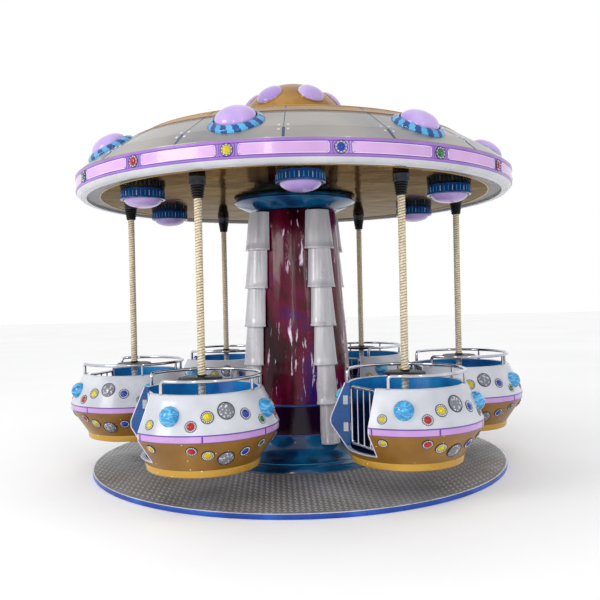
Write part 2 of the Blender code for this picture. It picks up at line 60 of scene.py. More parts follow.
# %% Camera
EYE = Vector((-0.1960, -6.1975, 1.4220))
YAW, PITCH, ROLL = (math.radians(a) for a in (2.083, -0.251, -1.254))
FOCAL_PIXELS, IMAGE_PIXELS, SENSOR = 694.3, 600, 36.0


def make_camera():
    ahead = Vector((math.sin(YAW) * math.cos(PITCH), math.cos(YAW) * math.cos(PITCH), math.sin(PITCH)))
    level = Vector((math.cos(YAW), -math.sin(YAW), 0.0))
    over = level.cross(ahead)
    side = level * math.cos(ROLL) + over * math.sin(ROLL)
    top = over * math.cos(ROLL) - level * math.sin(ROLL)
    lens = bpy.data.cameras.new("camera")
    lens.sensor_width = SENSOR
    lens.lens = FOCAL_PIXELS * SENSOR / IMAGE_PIXELS
    made = bpy.data.objects.new("camera", lens)
    bpy.context.scene.collection.objects.link(made)
    rows = [(side[i], top[i], -ahead[i], EYE[i]) for i in range(3)]
    made.matrix_world = Matrix(rows + [(0, 0, 0, 1)])
    bpy.context.scene.camera = made
    return made


print("lens", round(make_camera().data.lens, 2), "mm")

# %% [markdown]
# ## Studio
# A white world and a pale floor give the plain ground of a product picture. One broad lamp on the left
# whitens that side of every tub, and two tall strips give the glossy shells something long to mirror.


# %% Studio
def sheet_lamp(name, place, target, size, watts, tint=(1, 1, 1)):
    """A rectangular lamp that looks at a point."""
    data = bpy.data.lights.new(name, "AREA")
    data.shape = "RECTANGLE"
    data.size, data.size_y = size
    data.energy = watts
    data.color = tint
    lamp = bpy.data.objects.new(name, data)
    bpy.context.scene.collection.objects.link(lamp)
    lamp.location = place
    lamp.rotation_euler = (Vector(target) - Vector(place)).to_track_quat("-Z", "Y").to_euler()
    return lamp


def make_studio():
    world = bpy.data.worlds.new("studio")
    world.use_nodes = True
    world.node_tree.nodes["Background"].inputs["Color"].default_value = (1.0, 1.0, 1.0, 1.0)
    world.node_tree.nodes["Background"].inputs["Strength"].default_value = 1.0
    bpy.context.scene.world = world
    bpy.context.scene.view_settings.view_transform = "Standard"
    sheet_lamp("window", (-6.5, -5.0, 4.2), (0, 0, 1.2), (3.0, 3.0), 210, (1.0, 0.99, 0.97))
    sheet_lamp("strip_left", (-1.6, -7.5, 3.0), (0, 0, 1.3), (0.4, 3.0), 40)
    sheet_lamp("strip_right", (2.6, -7.0, 3.2), (0, 0, 1.3), (0.3, 2.6), 26)


make_studio()

# %% [markdown]
# ## Finishes
# Every finish is made of nodes. A pattern over the piece's own coordinates feeds a ramp for the colour, a
# second, finer one gives the relief. Colours are written as a paint chart gives them, 0 to 255.


# %% Helpers for finishes
def chart(red, green, blue):
    """A colour from the paint chart as the linear values that a shader takes."""
    shares = [c / 255 for c in (red, green, blue)]
    return tuple(s / 12.92 if s <= 0.04045 else ((s + 0.055) / 1.055) ** 2.4 for s in shares) + (1.0,)


def new_finish(name, colour, roughness, metallic=0.0, coat=0.0, shine=0.35):
    made = bpy.data.materials.new(name)
    made.use_nodes = True
    shader = made.node_tree.nodes["Principled BSDF"]
    shader.inputs["Base Color"].default_value = chart(*colour)
    shader.inputs["Roughness"].default_value = roughness
    shader.inputs["Metallic"].default_value = metallic
    shader.inputs["Coat Weight"].default_value = coat
    shader.inputs["Specular IOR Level"].default_value = shine
    shader.inputs["Coat Roughness"].default_value = 0.05
    return made


def pattern(made, kind, scale, stretch=(1, 1, 1), output=0, **settings):
    """A texture node over the object's coordinates. It gives one output socket."""
    tree = made.node_tree
    where = tree.nodes.new("ShaderNodeTexCoord")
    fit = tree.nodes.new("ShaderNodeMapping")
    fit.inputs["Scale"].default_value = stretch
    tree.links.new(where.outputs["Object"], fit.inputs["Vector"])
    node = tree.nodes.new(kind)
    node.inputs["Scale"].default_value = scale
    for socket, value in settings.items():
        node.inputs[socket].default_value = value
    tree.links.new(fit.outputs["Vector"], node.inputs["Vector"])
    return node.outputs[output]


def height_of(made):
    """The object's Z as a socket, in metres."""
    tree = made.node_tree
    where = tree.nodes.new("ShaderNodeTexCoord")
    split = tree.nodes.new("ShaderNodeSeparateXYZ")
    tree.links.new(where.outputs["Object"], split.inputs["Vector"])
    return split.outputs["Z"]


def ramp(made, factor, stops, sharp=False):
    """Colours by a factor: stops are (share, colour on the paint chart)."""
    tree = made.node_tree
    node = tree.nodes.new("ShaderNodeValToRGB")
    node.color_ramp.interpolation = "CONSTANT" if sharp else "LINEAR"
    marks = node.color_ramp.elements
    while len(marks) < len(stops):
        marks.new(0.5)
    for mark, (share, colour) in zip(marks, stops):
        mark.position = share
        mark.color = chart(*colour)
    tree.links.new(factor, node.inputs["Fac"])
    return node.outputs["Color"]


def mask(made, factor, low, high):
    """A factor spread so that low becomes 0 and high becomes 1."""
    node = made.node_tree.nodes.new("ShaderNodeMapRange")
    node.inputs["From Min"].default_value = low
    node.inputs["From Max"].default_value = high
    made.node_tree.links.new(factor, node.inputs["Value"])
    return node.outputs["Result"]


def blend(made, share, under, over):
    """One colour socket over another by a share socket."""
    tree = made.node_tree
    node = tree.nodes.new("ShaderNodeMix")
    node.data_type = "RGBA"
    tree.links.new(share, node.inputs["Factor"])
    tree.links.new(under, node.inputs["A"])
    tree.links.new(over, node.inputs["B"])
    return node.outputs["Result"]


def times(made, one, other):
    node = made.node_tree.nodes.new("ShaderNodeMath")
    node.operation = "MULTIPLY"
    made.node_tree.links.new(one, node.inputs[0])
    made.node_tree.links.new(other, node.inputs[1])
    return node.outputs[0]


def feed(made, socket, source):
    made.node_tree.links.new(source, made.node_tree.nodes["Principled BSDF"].inputs[socket])


def relief(made, factor, depth):
    """Bump of a depth in metres."""
    node = made.node_tree.nodes.new("ShaderNodeBump")
    node.inputs["Distance"].default_value = depth
    made.node_tree.links.new(factor, node.inputs["Height"])
    feed(made, "Normal", node.outputs["Normal"])


def paint(name, tones, roughness, metallic=0.0, coat=0.0, scale=5.0, stretch=(1, 1, 1), grain=(90, 0.0004)):
    """A painted or moulded skin: tones drift over the piece, gloss drifts with them, and a fine grain."""
    made = new_finish(name, tones[0], roughness, metallic, coat)
    drift = pattern(made, "ShaderNodeTexNoise", scale, stretch, Detail=4.0)
    count = len(tones) - 1
    feed(made, "Base Color", ramp(made, drift, [(0.32 + 0.36 * i / count, t) for i, t in enumerate(tones)]))
    wear = pattern(made, "ShaderNodeTexNoise", scale * 3.1, Detail=3.0)
    spread = made.node_tree.nodes.new("ShaderNodeMapRange")
    spread.inputs["To Min"].default_value = roughness * 0.75
    spread.inputs["To Max"].default_value = min(1.0, roughness * 1.35)
    made.node_tree.links.new(wear, spread.inputs["Value"])
    feed(made, "Roughness", spread.outputs["Result"])
    relief(made, pattern(made, "ShaderNodeTexNoise", grain[0], Detail=2.0), grain[1])
    return made


# %% [markdown]
# ### The plain paints and moulded skins
# Fairground shells are gelcoat: hard, glossy and slightly wavy. A thin clear coat over a drifting tone
# gives that depth, where a single flat colour would look like plastic film.

# %% Paints
ROYAL = paint("royal_blue_paint", [(10, 52, 140), (16, 66, 158), (34, 88, 180)], 0.34, coat=0.1)
TEAL = paint("teal_gelcoat", [(2, 30, 62), (4, 54, 96), (14, 96, 146), (4, 50, 70)], 0.14, coat=0.25, scale=3.0)
PEARL = paint("pearl_gelcoat", [(172, 175, 184), (190, 193, 201), (208, 210, 216)], 0.22, 0.0, coat=0.25, scale=2.5)
# Painted sheen: the white drifts into grey in upright streaks, for the satin shading of the cups.
CUP_PAINTED_SHEEN = paint("cup_white_painted_sheen", [(158, 156, 162), (186, 185, 190), (210, 209, 213)], 0.28, 0.1, coat=0.2,
            scale=2.0, stretch=(6, 6, 0.4))
RIM_WHITE = paint("rim_white", [(186, 187, 192), (206, 207, 212)], 0.24, coat=0.2)
LILAC = paint("lilac_gelcoat", [(140, 98, 180), (156, 112, 194)], 0.22, coat=0.2)
TUB_LILAC = paint("tub_band_lilac", [(178, 136, 196), (196, 156, 210)], 0.2, coat=0.25)
PANEL = paint("pink_lilac_panel", [(186, 146, 198), (204, 164, 212)], 0.16, coat=0.25, scale=2.0)
EDGE = paint("pale_bead", [(214, 200, 228), (232, 222, 240)], 0.2, coat=0.2)
PURPLE = paint("purple_line", [(84, 52, 142), (104, 70, 162)], 0.28, coat=0.2)
MILK = paint("milky_lilac_lamp", [(160, 134, 200), (178, 152, 212), (192, 168, 220)], 0.14, coat=0.35, scale=4.0)
# Navy paint for the platform's small plates. Inside the tubs the same navy stands as painted shade.
NAVY_AND_PAINTED_SHADE = paint("navy_and_painted_shade", [(4, 14, 44), (8, 28, 78)], 0.35, coat=0.1)
SKY = paint("light_blue_flute", [(46, 132, 190), (84, 168, 214)], 0.16, coat=0.3)
DEEP = paint("dark_blue_flute", [(6, 54, 112), (10, 74, 142)], 0.16, coat=0.3)
SEAM = paint("seam_blue", [(26, 50, 88), (42, 72, 116)], 0.35, coat=0.1)
BLACK = paint("black_rubber_skin", [(8, 8, 10), (18, 18, 20)], 0.42, scale=12.0, grain=(260, 0.0006))
# Painted shade: a near-black finish for the rings put in the gaps round the lamp bowls.
GAP_SHADE = paint("painted_gap_shade", [(14, 14, 22), (24, 22, 34)], 0.5)
CHROME = paint("polished_chrome", [(176, 178, 186), (206, 208, 214)], 0.10, 1.0, scale=9.0, grain=(40, 0.0002))
STEEL = paint("hinge_silver", [(150, 154, 162), (184, 188, 194)], 0.28, 0.8)
BEAD = paint("white_bead", [(206, 207, 212), (232, 232, 236)], 0.2, coat=0.2, scale=20.0)
ROPE = paint("rope_cream", [(196, 180, 150), (222, 208, 182), (236, 226, 206)], 0.75, scale=60.0, grain=(420, 0.0012))
# Painted shade: the darker rope finish goes on the faces in the grooves.
ROPE_GROOVE_SHADE = paint("rope_shade", [(128, 110, 82), (158, 140, 110)], 0.8, scale=60.0)
SLEEVE = paint("pale_sleeve", [(176, 174, 168), (204, 202, 196)], 0.4, 0.1, coat=0.1, scale=40.0)
BROWN_GOLD = paint("dome_gold", [(128, 88, 26), (150, 106, 38), (168, 126, 56)], 0.28, 0.2, coat=0.2)
BRASS = paint("brass_trim", [(140, 106, 44), (176, 140, 70)], 0.25, 0.8)
ALLOY = paint("alloy_edge", [(190, 192, 198), (218, 220, 226)], 0.26, 0.5)
print("paints", len(bpy.data.materials))


# %% [markdown]
# ### The finishes with a pattern of their own
# The tubs' lower half is gold with small glints, the cap is pewter with a warm cast, the column is a dark
# wine gelcoat with bright vertical drips of painted highlight, and the ceiling is a gold mirror with pale
# veins of painted reflection.


# %% Patterned finishes
def glitter_gold(name, tones, roughness):
    made = paint(name, tones, roughness, 0.15, coat=0.15, scale=3.0)
    flecks = pattern(made, "ShaderNodeTexVoronoi", 17.0, Randomness=1.0)
    spot = mask(made, flecks, 0.085, 0.045)
    base = made.node_tree.nodes["Principled BSDF"].inputs["Base Color"].links[0].from_socket
    white = ramp(made, spot, [(0.0, (255, 236, 190)), (1.0, (255, 244, 214))])
    feed(made, "Base Color", blend(made, spot, base, white))
    return made


def pewter():
    made = paint("pewter_paint", [(122, 120, 122), (146, 143, 140), (160, 154, 146)], 0.34, 0.45, coat=0.35, scale=1.3)
    relief(made, pattern(made, "ShaderNodeTexNoise", 4.0, Detail=5.0), 0.004)
    return made


def wine():
    """Wine red and violet clouds with pale drips, which are painted highlights. It darkens under the blue line near its
    foot.
    """
    made = new_finish("wine_gelcoat", (80, 8, 52), 0.12, 0.0, 0.12, 0.2)
    clouds = pattern(made, "ShaderNodeTexNoise", 2.4, (1, 1, 0.5), Detail=6.0, Distortion=0.8)
    tones = [(0.34, (26, 2, 12)), (0.45, (66, 2, 24)), (0.53, (96, 4, 44)), (0.59, (78, 6, 74)), (0.70, (34, 22, 104))]
    body = ramp(made, clouds, tones)
    fine = pattern(made, "ShaderNodeTexNoise", 8.0, (3.2, 3.2, 0.42), Detail=7.0, Roughness=0.66, Distortion=0.5)
    zones = pattern(made, "ShaderNodeTexNoise", 3.1, (1.2, 1.2, 0.6), Detail=3.0)
    # Painted highlight: pale upright drips in the colour, where the glossy waves would mirror a lamp.
    painted_highlight_drips = times(made, mask(made, fine, 0.578, 0.598), mask(made, zones, 0.455, 0.52))
    painted_highlight_drips = times(made, painted_highlight_drips, mask(made, height_of(made), 0.56, 0.66))
    specks = mask(made, pattern(made, "ShaderNodeTexVoronoi", 30.0, Randomness=1.0), 0.10, 0.05)
    specks = times(made, specks, mask(made, clouds, 0.46, 0.52))
    white = ramp(made, fine, [(0.56, (168, 112, 176)), (0.62, (228, 206, 228)), (0.70, (246, 240, 246))])
    pink = ramp(made, zones, [(0.4, (150, 60, 140)), (0.6, (190, 130, 200))])
    upper = blend(made, painted_highlight_drips, blend(made, specks, body, pink), white)
    low = ramp(made, clouds, [(0.35, (18, 2, 14)), (0.6, (30, 6, 40))])
    feed(made, "Base Color", blend(made, mask(made, height_of(made), 0.515, 0.53), low, upper))
    relief(made, fine, 0.002)
    return made


def lining_with_painted_shade():
    """Bright blue at the rim, with navy painted shade from the seat down, where little light comes in."""
    made = paint("inside_blue_painted_shade", [(14, 92, 170), (26, 122, 196), (52, 148, 212)], 0.2, coat=0.2, scale=3.0)
    upper = made.node_tree.nodes["Principled BSDF"].inputs["Base Color"].links[0].from_socket
    clouds = pattern(made, "ShaderNodeTexNoise", 4.0, Detail=3.0)
    painted_shade_navy = ramp(made, clouds, [(0.35, (4, 16, 50)), (0.65, (8, 30, 84))])
    # Painted shade: below 0.60 m the colour turns navy, for the shadow inside the tub.
    feed(made, "Base Color", blend(made, mask(made, height_of(made), 0.60, 0.70), painted_shade_navy, upper))
    return made


def mirror_ceiling():
    """A smoky gold mirror. Its tint at a glancing look is kept dark, as a stained mirror's is. Its pale veins are
    painted reflections.
    """
    made = new_finish("mirror_painted_reflection_veins", (70, 56, 32), 0.10, 0.9)
    made.node_tree.nodes["Principled BSDF"].inputs["Specular Tint"].default_value = chart(150, 128, 92)
    clouds = pattern(made, "ShaderNodeTexNoise", 1.7, Detail=6.0, Distortion=0.8)
    body = ramp(made, clouds, [(0.36, (40, 30, 14)), (0.50, (78, 62, 34)), (0.66, (116, 100, 66))])
    # Painted reflection: pale veins in the colour stand for things mirrored in the ceiling.
    veins = pattern(made, "ShaderNodeTexNoise", 2.6, Detail=8.0, Distortion=1.9)
    painted_reflection_mask = times(made, mask(made, veins, 0.480, 0.498), mask(made, veins, 0.516, 0.500))
    pale = ramp(made, clouds, [(0.4, (128, 116, 90)), (0.7, (186, 178, 156))])
    feed(made, "Base Color", blend(made, painted_reflection_mask, body, pale))
    relief(made, pattern(made, "ShaderNodeTexNoise", 3.0, Detail=3.0), 0.006)
    return made


def marbled_ball():
    made = new_finish("marbled_cyan", (60, 150, 210), 0.14, 0.0, 0.3)
    waves = pattern(made, "ShaderNodeTexNoise", 14.0, (1, 1, 2.6), Detail=5.0, Distortion=1.6)
    tones = [(0.32, (24, 104, 168)), (0.46, (48, 138, 196)), (0.58, (84, 170, 214)), (0.72, (150, 208, 232))]
    feed(made, "Base Color", ramp(made, waves, tones))
    relief(made, pattern(made, "ShaderNodeTexNoise", 14.0), 0.0015)
    return made


def plate_steel():
    made = paint("chequer_plate", [(118, 114, 112), (138, 136, 136), (156, 156, 160)], 0.42, 0.3, scale=1.6)
    relief(made, pattern(made, "ShaderNodeTexNoise", 130.0, (1, 1, 1), Detail=4.0), 0.0004)
    return made


def stone(name, dark, light):
    """A cut glass stone: the tone changes through a cell pattern, light at each cell's middle and dark at its edge, as
    painted sparkle and shade of the facets.
    """
    made = new_finish(name, light, 0.08, 0.0, 0.25)
    cells = pattern(made, "ShaderNodeTexVoronoi", 55.0)
    # Painted light: bright cell middles stand for the facets' sparkle, dark edges for their shade.
    feed(made, "Base Color", ramp(made, cells, [(0.0, light), (0.45, dark)]))
    return made


GOLD = glitter_gold("glitter_gold", [(120, 82, 20), (138, 96, 28), (156, 114, 44)], 0.32)
BRIGHT_GOLD = glitter_gold("bright_gold", [(176, 132, 40), (198, 154, 60)], 0.28)
PEWTER, WINE, INSIDE_PAINTED_SHADE, CEILING, BALL, PLATE = pewter(), wine(), lining_with_painted_shade(), mirror_ceiling(), marbled_ball(), plate_steel()
LUMP = paint("chequer_lump", [(184, 182, 182), (206, 206, 210)], 0.3, 0.4, scale=1.6)
STONES = {
    "red": stone("red_stone", (150, 0, 10), (232, 12, 26)),
    "yellow": stone("yellow_stone", (190, 170, 0), (250, 238, 30)),
    "blue": stone("blue_stone", (10, 44, 150), (40, 112, 226)),
    "green": stone("green_stone", (0, 92, 40), (44, 190, 96)),
    "clear": stone("clear_stone", (112, 114, 124), (240, 240, 244)),
    "teal": stone("teal_stone", (20, 84, 100), (110, 180, 196)),
}
SETTING = paint("dark_setting", [(30, 28, 44), (52, 50, 70)], 0.35, 0.2)
DISH = paint("grey_dish", [(104, 102, 112), (140, 138, 148)], 0.3, 0.3, scale=20.0)
print("finishes", len(bpy.data.materials))


# %% [markdown]
# ## Shells
# Most of the ride is round, so most pieces are a line turned about an upright axis. One function makes the
# rings of points in a single step. The line runs anticlockwise in the (radius, height) plane, from the
# underside outwards and up, and the faces then look outwards.


# %% Helpers for shells
def at(azimuth, radius, height=0.0):
    """A place on a circle: azimuth 0 is at -Y and grows towards +X."""
    return Vector((radius * math.sin(azimuth), -radius * math.cos(azimuth), height))


def grid(rows, columns, across, along):
    """Quads over rows x columns of points, joined end to start across or along when asked."""
    faces = []
    for i in range(rows if across else rows - 1):
        j = (i + 1) % rows
        for k in range(columns if along else columns - 1):
            m = (k + 1) % columns
            faces.append((i * columns + k, j * columns + k, j * columns + m, i * columns + m))
    return faces


def turned(line, steps=144, start=0.0, sweep=math.tau, closed=False, swell=None):
    """A line of (radius, height) points turned about Z. swell changes a radius by azimuth and height."""
    line = np.array(line, float)
    whole = abs(sweep - math.tau) < 1e-9
    turns = start + sweep * np.arange(steps if whole else steps + 1) / steps
    radii = np.tile(line[:, 0], (len(turns), 1))
    heights = np.tile(line[:, 1], (len(turns), 1))
    if swell:
        radii = radii + swell(turns[:, None] + 0 * heights, heights)
    points = np.stack([np.sin(turns)[:, None] * radii, -np.cos(turns)[:, None] * radii, heights], -1)
    return points.reshape(-1, 3), grid(len(turns), len(line), whole, closed)


def arc(centre_radius, centre_height, radius, first, last, count):
    """Points of a line on a small circle, by degrees from the horizontal."""
    angles = [math.radians(first + (last - first) * i / count) for i in range(count + 1)]
    return [(centre_radius + radius * math.cos(a), centre_height + radius * math.sin(a)) for a in angles]


def pipe(path, radius, sides=12, loop=False):
    """A round bar along a path, with flat ends unless it is a loop."""
    path = [Vector(p) for p in path]
    count = len(path)
    points, across = [], None
    for i, place in enumerate(path):
        before = path[i - 1] if i or loop else place
        after = path[(i + 1) % count] if i < count - 1 or loop else place
        ahead = (after - before).normalized()
        if across is None:
            across = ahead.orthogonal().normalized()
        across = (across - ahead * across.dot(ahead)).normalized()
        over = ahead.cross(across)
        for k in range(sides):
            a = math.tau * k / sides
            points.append(place + radius * (across * math.cos(a) + over * math.sin(a)))
    faces = [(a, d, c, b) for a, b, c, d in grid(count, sides, loop, True)]
    if not loop:
        faces += [tuple(range(sides))[::-1], tuple(range((count - 1) * sides, count * sides))]
    return np.array(points), [f[::-1] for f in faces]


def slab(size, centre=(0, 0, 0), bevel=0.0015):
    """A block with softened edges."""
    work = bmesh.new()
    bmesh.ops.create_cube(work, size=1.0)
    bmesh.ops.scale(work, vec=size, verts=work.verts)
    bmesh.ops.bevel(work, geom=work.edges[:], offset=min(bevel, min(size) / 3), segments=2, affect="EDGES")
    bmesh.ops.translate(work, vec=centre, verts=work.verts)
    points = np.array([v.co for v in work.verts])
    faces = [tuple(v.index for v in f.verts) for f in work.faces]
    work.free()
    return points, faces


# %% [markdown]
# ## Pieces
# A piece gathers several shells with their finishes in one mesh. Points that meet are welded, faces are
# smooth except at real edges, and cut stones keep flat facets.


# %% Helpers for pieces
class Piece:
    def __init__(self):
        self.points, self.faces, self.marks, self.flats, self.finishes, self.count = [], [], [], [], [], 0

    def add(self, shell, finish, place=None, flat=False):
        points, faces = shell
        points = np.asarray(points, float).reshape(-1, 3)
        if place is not None:
            turn = np.array(place)
            points = points @ turn[:3, :3].T + turn[:3, 3]
        if finish not in self.finishes:
            self.finishes.append(finish)
        self.points.append(points)
        self.faces += [tuple(v + self.count for v in f) for f in faces]
        self.marks += [self.finishes.index(finish)] * len(faces)
        self.flats += [not flat] * len(faces)
        self.count += len(points)
        return self

    def mesh(self, name, edge=35):
        made = bpy.data.meshes.new(name)
        made.from_pydata(np.concatenate(self.points).tolist(), [], self.faces)
        for finish in self.finishes:
            made.materials.append(finish)
        made.polygons.foreach_set("material_index", self.marks)
        made.polygons.foreach_set("use_smooth", self.flats)
        work = bmesh.new()
        work.from_mesh(made)
        bmesh.ops.remove_doubles(work, verts=work.verts, dist=0.000001)
        bmesh.ops.dissolve_degenerate(work, edges=work.edges, dist=0.0000005)
        work.to_mesh(made)
        work.free()
        made.set_sharp_from_angle(angle=math.radians(edge))
        return made


def show(name, mesh, body, nodes=(), place=None):
    """A mesh as a piece of the ride, on its body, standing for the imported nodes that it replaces."""
    if place is not None:
        mesh = mesh.copy()
        mesh.transform(place)
    made = bpy.data.objects.new(name, mesh)
    bpy.context.scene.collection.objects.link(made)
    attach(made, body)
    if nodes:
        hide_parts(*nodes)
    return made


def told(name, mesh):
    print(f"{name}: {len(mesh.vertices)} points, {len(mesh.polygons)} faces")
    return mesh


def seat(azimuth, radius, height, lean):
    """A place on a round shell whose local Z looks out along the shell's normal, lean above level."""
    side = Vector((math.cos(azimuth), math.sin(azimuth), 0.0))
    out = at(azimuth, math.cos(lean), math.sin(lean))
    over = out.cross(side)
    centre = at(azimuth, radius, height)
    return Matrix([(side[i], over[i], out[i], centre[i]) for i in range(3)] + [(0, 0, 0, 1)])


# %% [markdown]
# ## Floor
# The floor belongs to the studio and not to the ride, so it rides on no body.


# %% Floor
def make_floor():
    mesh = bpy.data.meshes.new("studio_floor")
    half = 40.0
    mesh.from_pydata([(-half, -half, 0), (half, -half, 0), (half, half, 0), (-half, half, 0)], [], [(0, 1, 2, 3)])
    mesh.materials.append(paint("pale_floor", [(246, 246, 247), (250, 250, 251)], 0.6, scale=0.4))
    floor = bpy.data.objects.new("studio_floor", mesh)
    floor.location.z = -0.002
    bpy.context.scene.collection.objects.link(floor)


make_floor()

# %% [markdown]
# ## Platform and chequer plate
# The ride stands on a low round platform: a blue painted side, a thin bright edge, and a plate with raised
# lumps that lie crosswise in turn. The lumps are real geometry, because they catch the light one by one.

# %% Platform
PLATFORM_RADIUS, PLATFORM_HEIGHT, DECK_LOW, DECK_TOP = 1.775, 0.034, 0.0343, 0.0393
BELL_FOOT = 0.782


def platform_mesh():
    side = [(0.0, 0.0), (1.771, 0.0), (1.7745, 0.0025), (PLATFORM_RADIUS, 0.006), (PLATFORM_RADIUS, 0.030)]
    side += [(1.773, 0.0335), (1.768, PLATFORM_HEIGHT), (0.0, PLATFORM_HEIGHT)]
    made = Piece().add(turned(side, 240), ROYAL)
    for k in range(4):
        joint = seat(math.radians(12 + 90 * k), PLATFORM_RADIUS, 0.017, 0.0)
        made.add(slab((0.003, 0.026, 0.0012), bevel=0.0004), NAVY_AND_PAINTED_SHADE, joint)
    return told("platform", made.mesh("platform_side"))


def lump_field(pitch=0.040, length=0.038, width=0.013, rise=0.0022):
    """Crosswise lumps on a slanting grid, none at the edge or under the column's bell."""
    half, waist, ridge = length / 2, length / 4.4, length / 5
    shape = np.array([(-half, 0, 0), (-waist, -width / 2, 0), (waist, -width / 2, 0), (half, 0, 0),
                      (waist, width / 2, 0), (-waist, width / 2, 0), (-ridge, 0, rise), (ridge, 0, rise)])
    cover = [(0, 1, 6), (1, 2, 7, 6), (2, 3, 7), (3, 4, 7), (4, 5, 6, 7), (5, 0, 6)]
    reach = int(PLATFORM_RADIUS / pitch) + 1
    points, faces = [], []
    for i in range(-reach, reach + 1):
        for j in range(-reach, reach + 1):
            x, y = i * pitch, j * pitch
            if not BELL_FOOT + 0.018 < math.hypot(x, y) < PLATFORM_RADIUS - 0.022:
                continue
            a = math.radians(45 if (i + j) % 2 else -45)
            turn = np.array([(math.cos(a), math.sin(a), 0), (-math.sin(a), math.cos(a), 0), (0, 0, 1)])
            start = 8 * len(points)
            points.append(shape @ turn + (x, y, DECK_TOP - 0.0001))
            faces += [tuple(v + start for v in f) for f in cover]
    return np.concatenate(points), faces


def deck_mesh():
    plate = [(0.0, DECK_LOW), (1.7745, DECK_LOW), (PLATFORM_RADIUS, DECK_LOW + 0.001)]
    plate += [(PLATFORM_RADIUS, DECK_TOP - 0.0008), (1.774, DECK_TOP), (1.7655, DECK_TOP)]
    made = Piece().add(turned(plate, 240), ALLOY)
    made.add(turned([(1.7655, DECK_TOP), (1.40, DECK_TOP), (1.0, DECK_TOP), (0.5, DECK_TOP), (0.0, DECK_TOP)], 240), PLATE)
    made.add(lump_field(), LUMP)
    return told("deck", made.mesh("deck", 20))


show("platform_side", platform_mesh(), "base", ["platform"])
show("deck_chequered", deck_mesh(), "base", ["deck_plate"])

# %% [markdown]
# ## Bell, column and cup stacks
# A teal bell covers the column's foot. The column is a wine-red cone with a wavy skin, so its gloss breaks
# into upright streaks: the waves are moved points, slow up and down and quick around. Four stacks of white
# cups lean on it like piled paper cups, each with a rolled lip.

# %% Bell, column and cups
BELL_TOP, COLUMN_LOW, COLUMN_TOP = 0.285, 0.2853, 2.165
COLUMN_FOOT, COLUMN_HEAD = 0.492, 0.358
BLUE_LINE = 0.519


def bell_line():
    flare = []
    for i in range(17):
        t = i / 16
        flare.append((0.505 + 0.195 * t**1.7, BELL_TOP - 0.193 * (1 - (1 - t) ** 1.6)))
    foot = [(0.728, 0.0865), (0.750, 0.0800), (0.765, 0.072), (0.774, 0.062), (0.780, 0.050), (0.782, 0.0396)]
    return [(0.0, 0.0396)] + (flare + foot)[::-1] + [(0.498, BELL_TOP), (0.0, BELL_TOP)]


def column_radius(height):
    return COLUMN_FOOT + (COLUMN_HEAD - COLUMN_FOOT) * (height - COLUMN_LOW) / (COLUMN_TOP - COLUMN_LOW)


def column_wave(turns, heights):
    """Waves of a few millimetres, long along the column and short around it. None in the foot's smooth part."""
    rise = np.zeros_like(heights)
    for index, turn in np.ndenumerate(turns):
        height = heights[index]
        share = min(1.0, max(0.0, (height - 0.56) / 0.12), max(0.0, (COLUMN_TOP - height) / 0.05))
        place = Vector((3.2 * math.sin(turn), 3.2 * math.cos(turn), height * 1.3))
        rise[index] = 0.0045 * share * (noise.noise(place * 1.4) + 0.5 * noise.noise(place * 3.1))
    return rise


def column_mesh():
    levels = np.linspace(COLUMN_LOW, COLUMN_TOP, 110)
    line = [(0.0, COLUMN_LOW)] + [(column_radius(h), h) for h in levels] + [(0.0, COLUMN_TOP)]
    made = Piece().add(turned(line, 220, swell=lambda t, h: column_wave(t, h) * (h > COLUMN_LOW)), WINE)
    band = column_radius(BLUE_LINE)
    made.add(turned([(band - 0.003, BLUE_LINE - 0.016)] + arc(band - 0.001, BLUE_LINE, 0.006, -60, 60, 6)
                    + [(band - 0.003, BLUE_LINE + 0.016)], 180), DEEP)
    return told("column", made.mesh("column"))


def bell_mesh():
    made = Piece().add(turned(bell_line(), 200), TEAL)
    made.add(turned(arc(0.503, BELL_TOP - 0.002, 0.005, -80, 100, 8), 200), PURPLE)
    made.add(turned(arc(0.701, 0.0905, 0.0035, -90, 120, 8), 200), SKY)
    return told("bell", made.mesh("bell"))


CUPS, CUP_LOW, CUP_HIGH = 6, 0.205, 2.15
CUP_WIDTH, CUP_DEPTH, CUP_GROWTH, TOP_WIDTH, TOP_DEPTH = 0.089, 0.083, 0.099, 0.80, 0.93


def cup_stack(sides=28):
    """One stack along -Y. Each cup stands in the mouth of the one above it, which is a little larger."""
    made = Piece()
    rise = (CUP_HIGH - CUP_LOW) / CUPS
    for i in range(CUPS):
        foot, growth = CUP_LOW + rise * i, 1 + CUP_GROWTH * i
        lip = [(0.0, -0.012), (0.0, -0.003), (0.003, 0.0), (0.010, 0.0012), (0.016, 0.0), (0.020, -0.003)]
        tuck = 0.0 if i == CUPS - 1 else 0.012
        wall = [(0.020 + (rise + tuck - 0.020) * k / 6, -0.003) for k in range(1, 7)]
        rings = []
        for up, out in lip + wall:
            share = min(1.0, up / rise)
            wide = CUP_WIDTH * growth * (1 + (TOP_WIDTH - 1) * share) + out
            deep = CUP_DEPTH * growth * (1 + (TOP_DEPTH - 1) * share) + out
            height = min(foot + up, CUP_HIGH)
            back = 0.50 if height < BELL_TOP else column_radius(height) + 0.001
            angles = [math.pi * k / sides for k in range(sides + 1)]
            rings.append([(wide * math.cos(a), -back - deep * math.sin(a) ** 0.8, height) for a in angles][::-1])
        points = np.array(rings).transpose(1, 0, 2).reshape(-1, 3)
        made.add((points, grid(sides + 1, len(rings), False, False)), CUP_PAINTED_SHEEN)
        for ring, flip in ((rings[0], 1), (rings[-1], -1)):
            made.add((np.array(ring), [tuple(range(len(ring)))[:: -flip]]), CUP_PAINTED_SHEEN)
    return told("cup stack", made.mesh("cup_stack", 40))


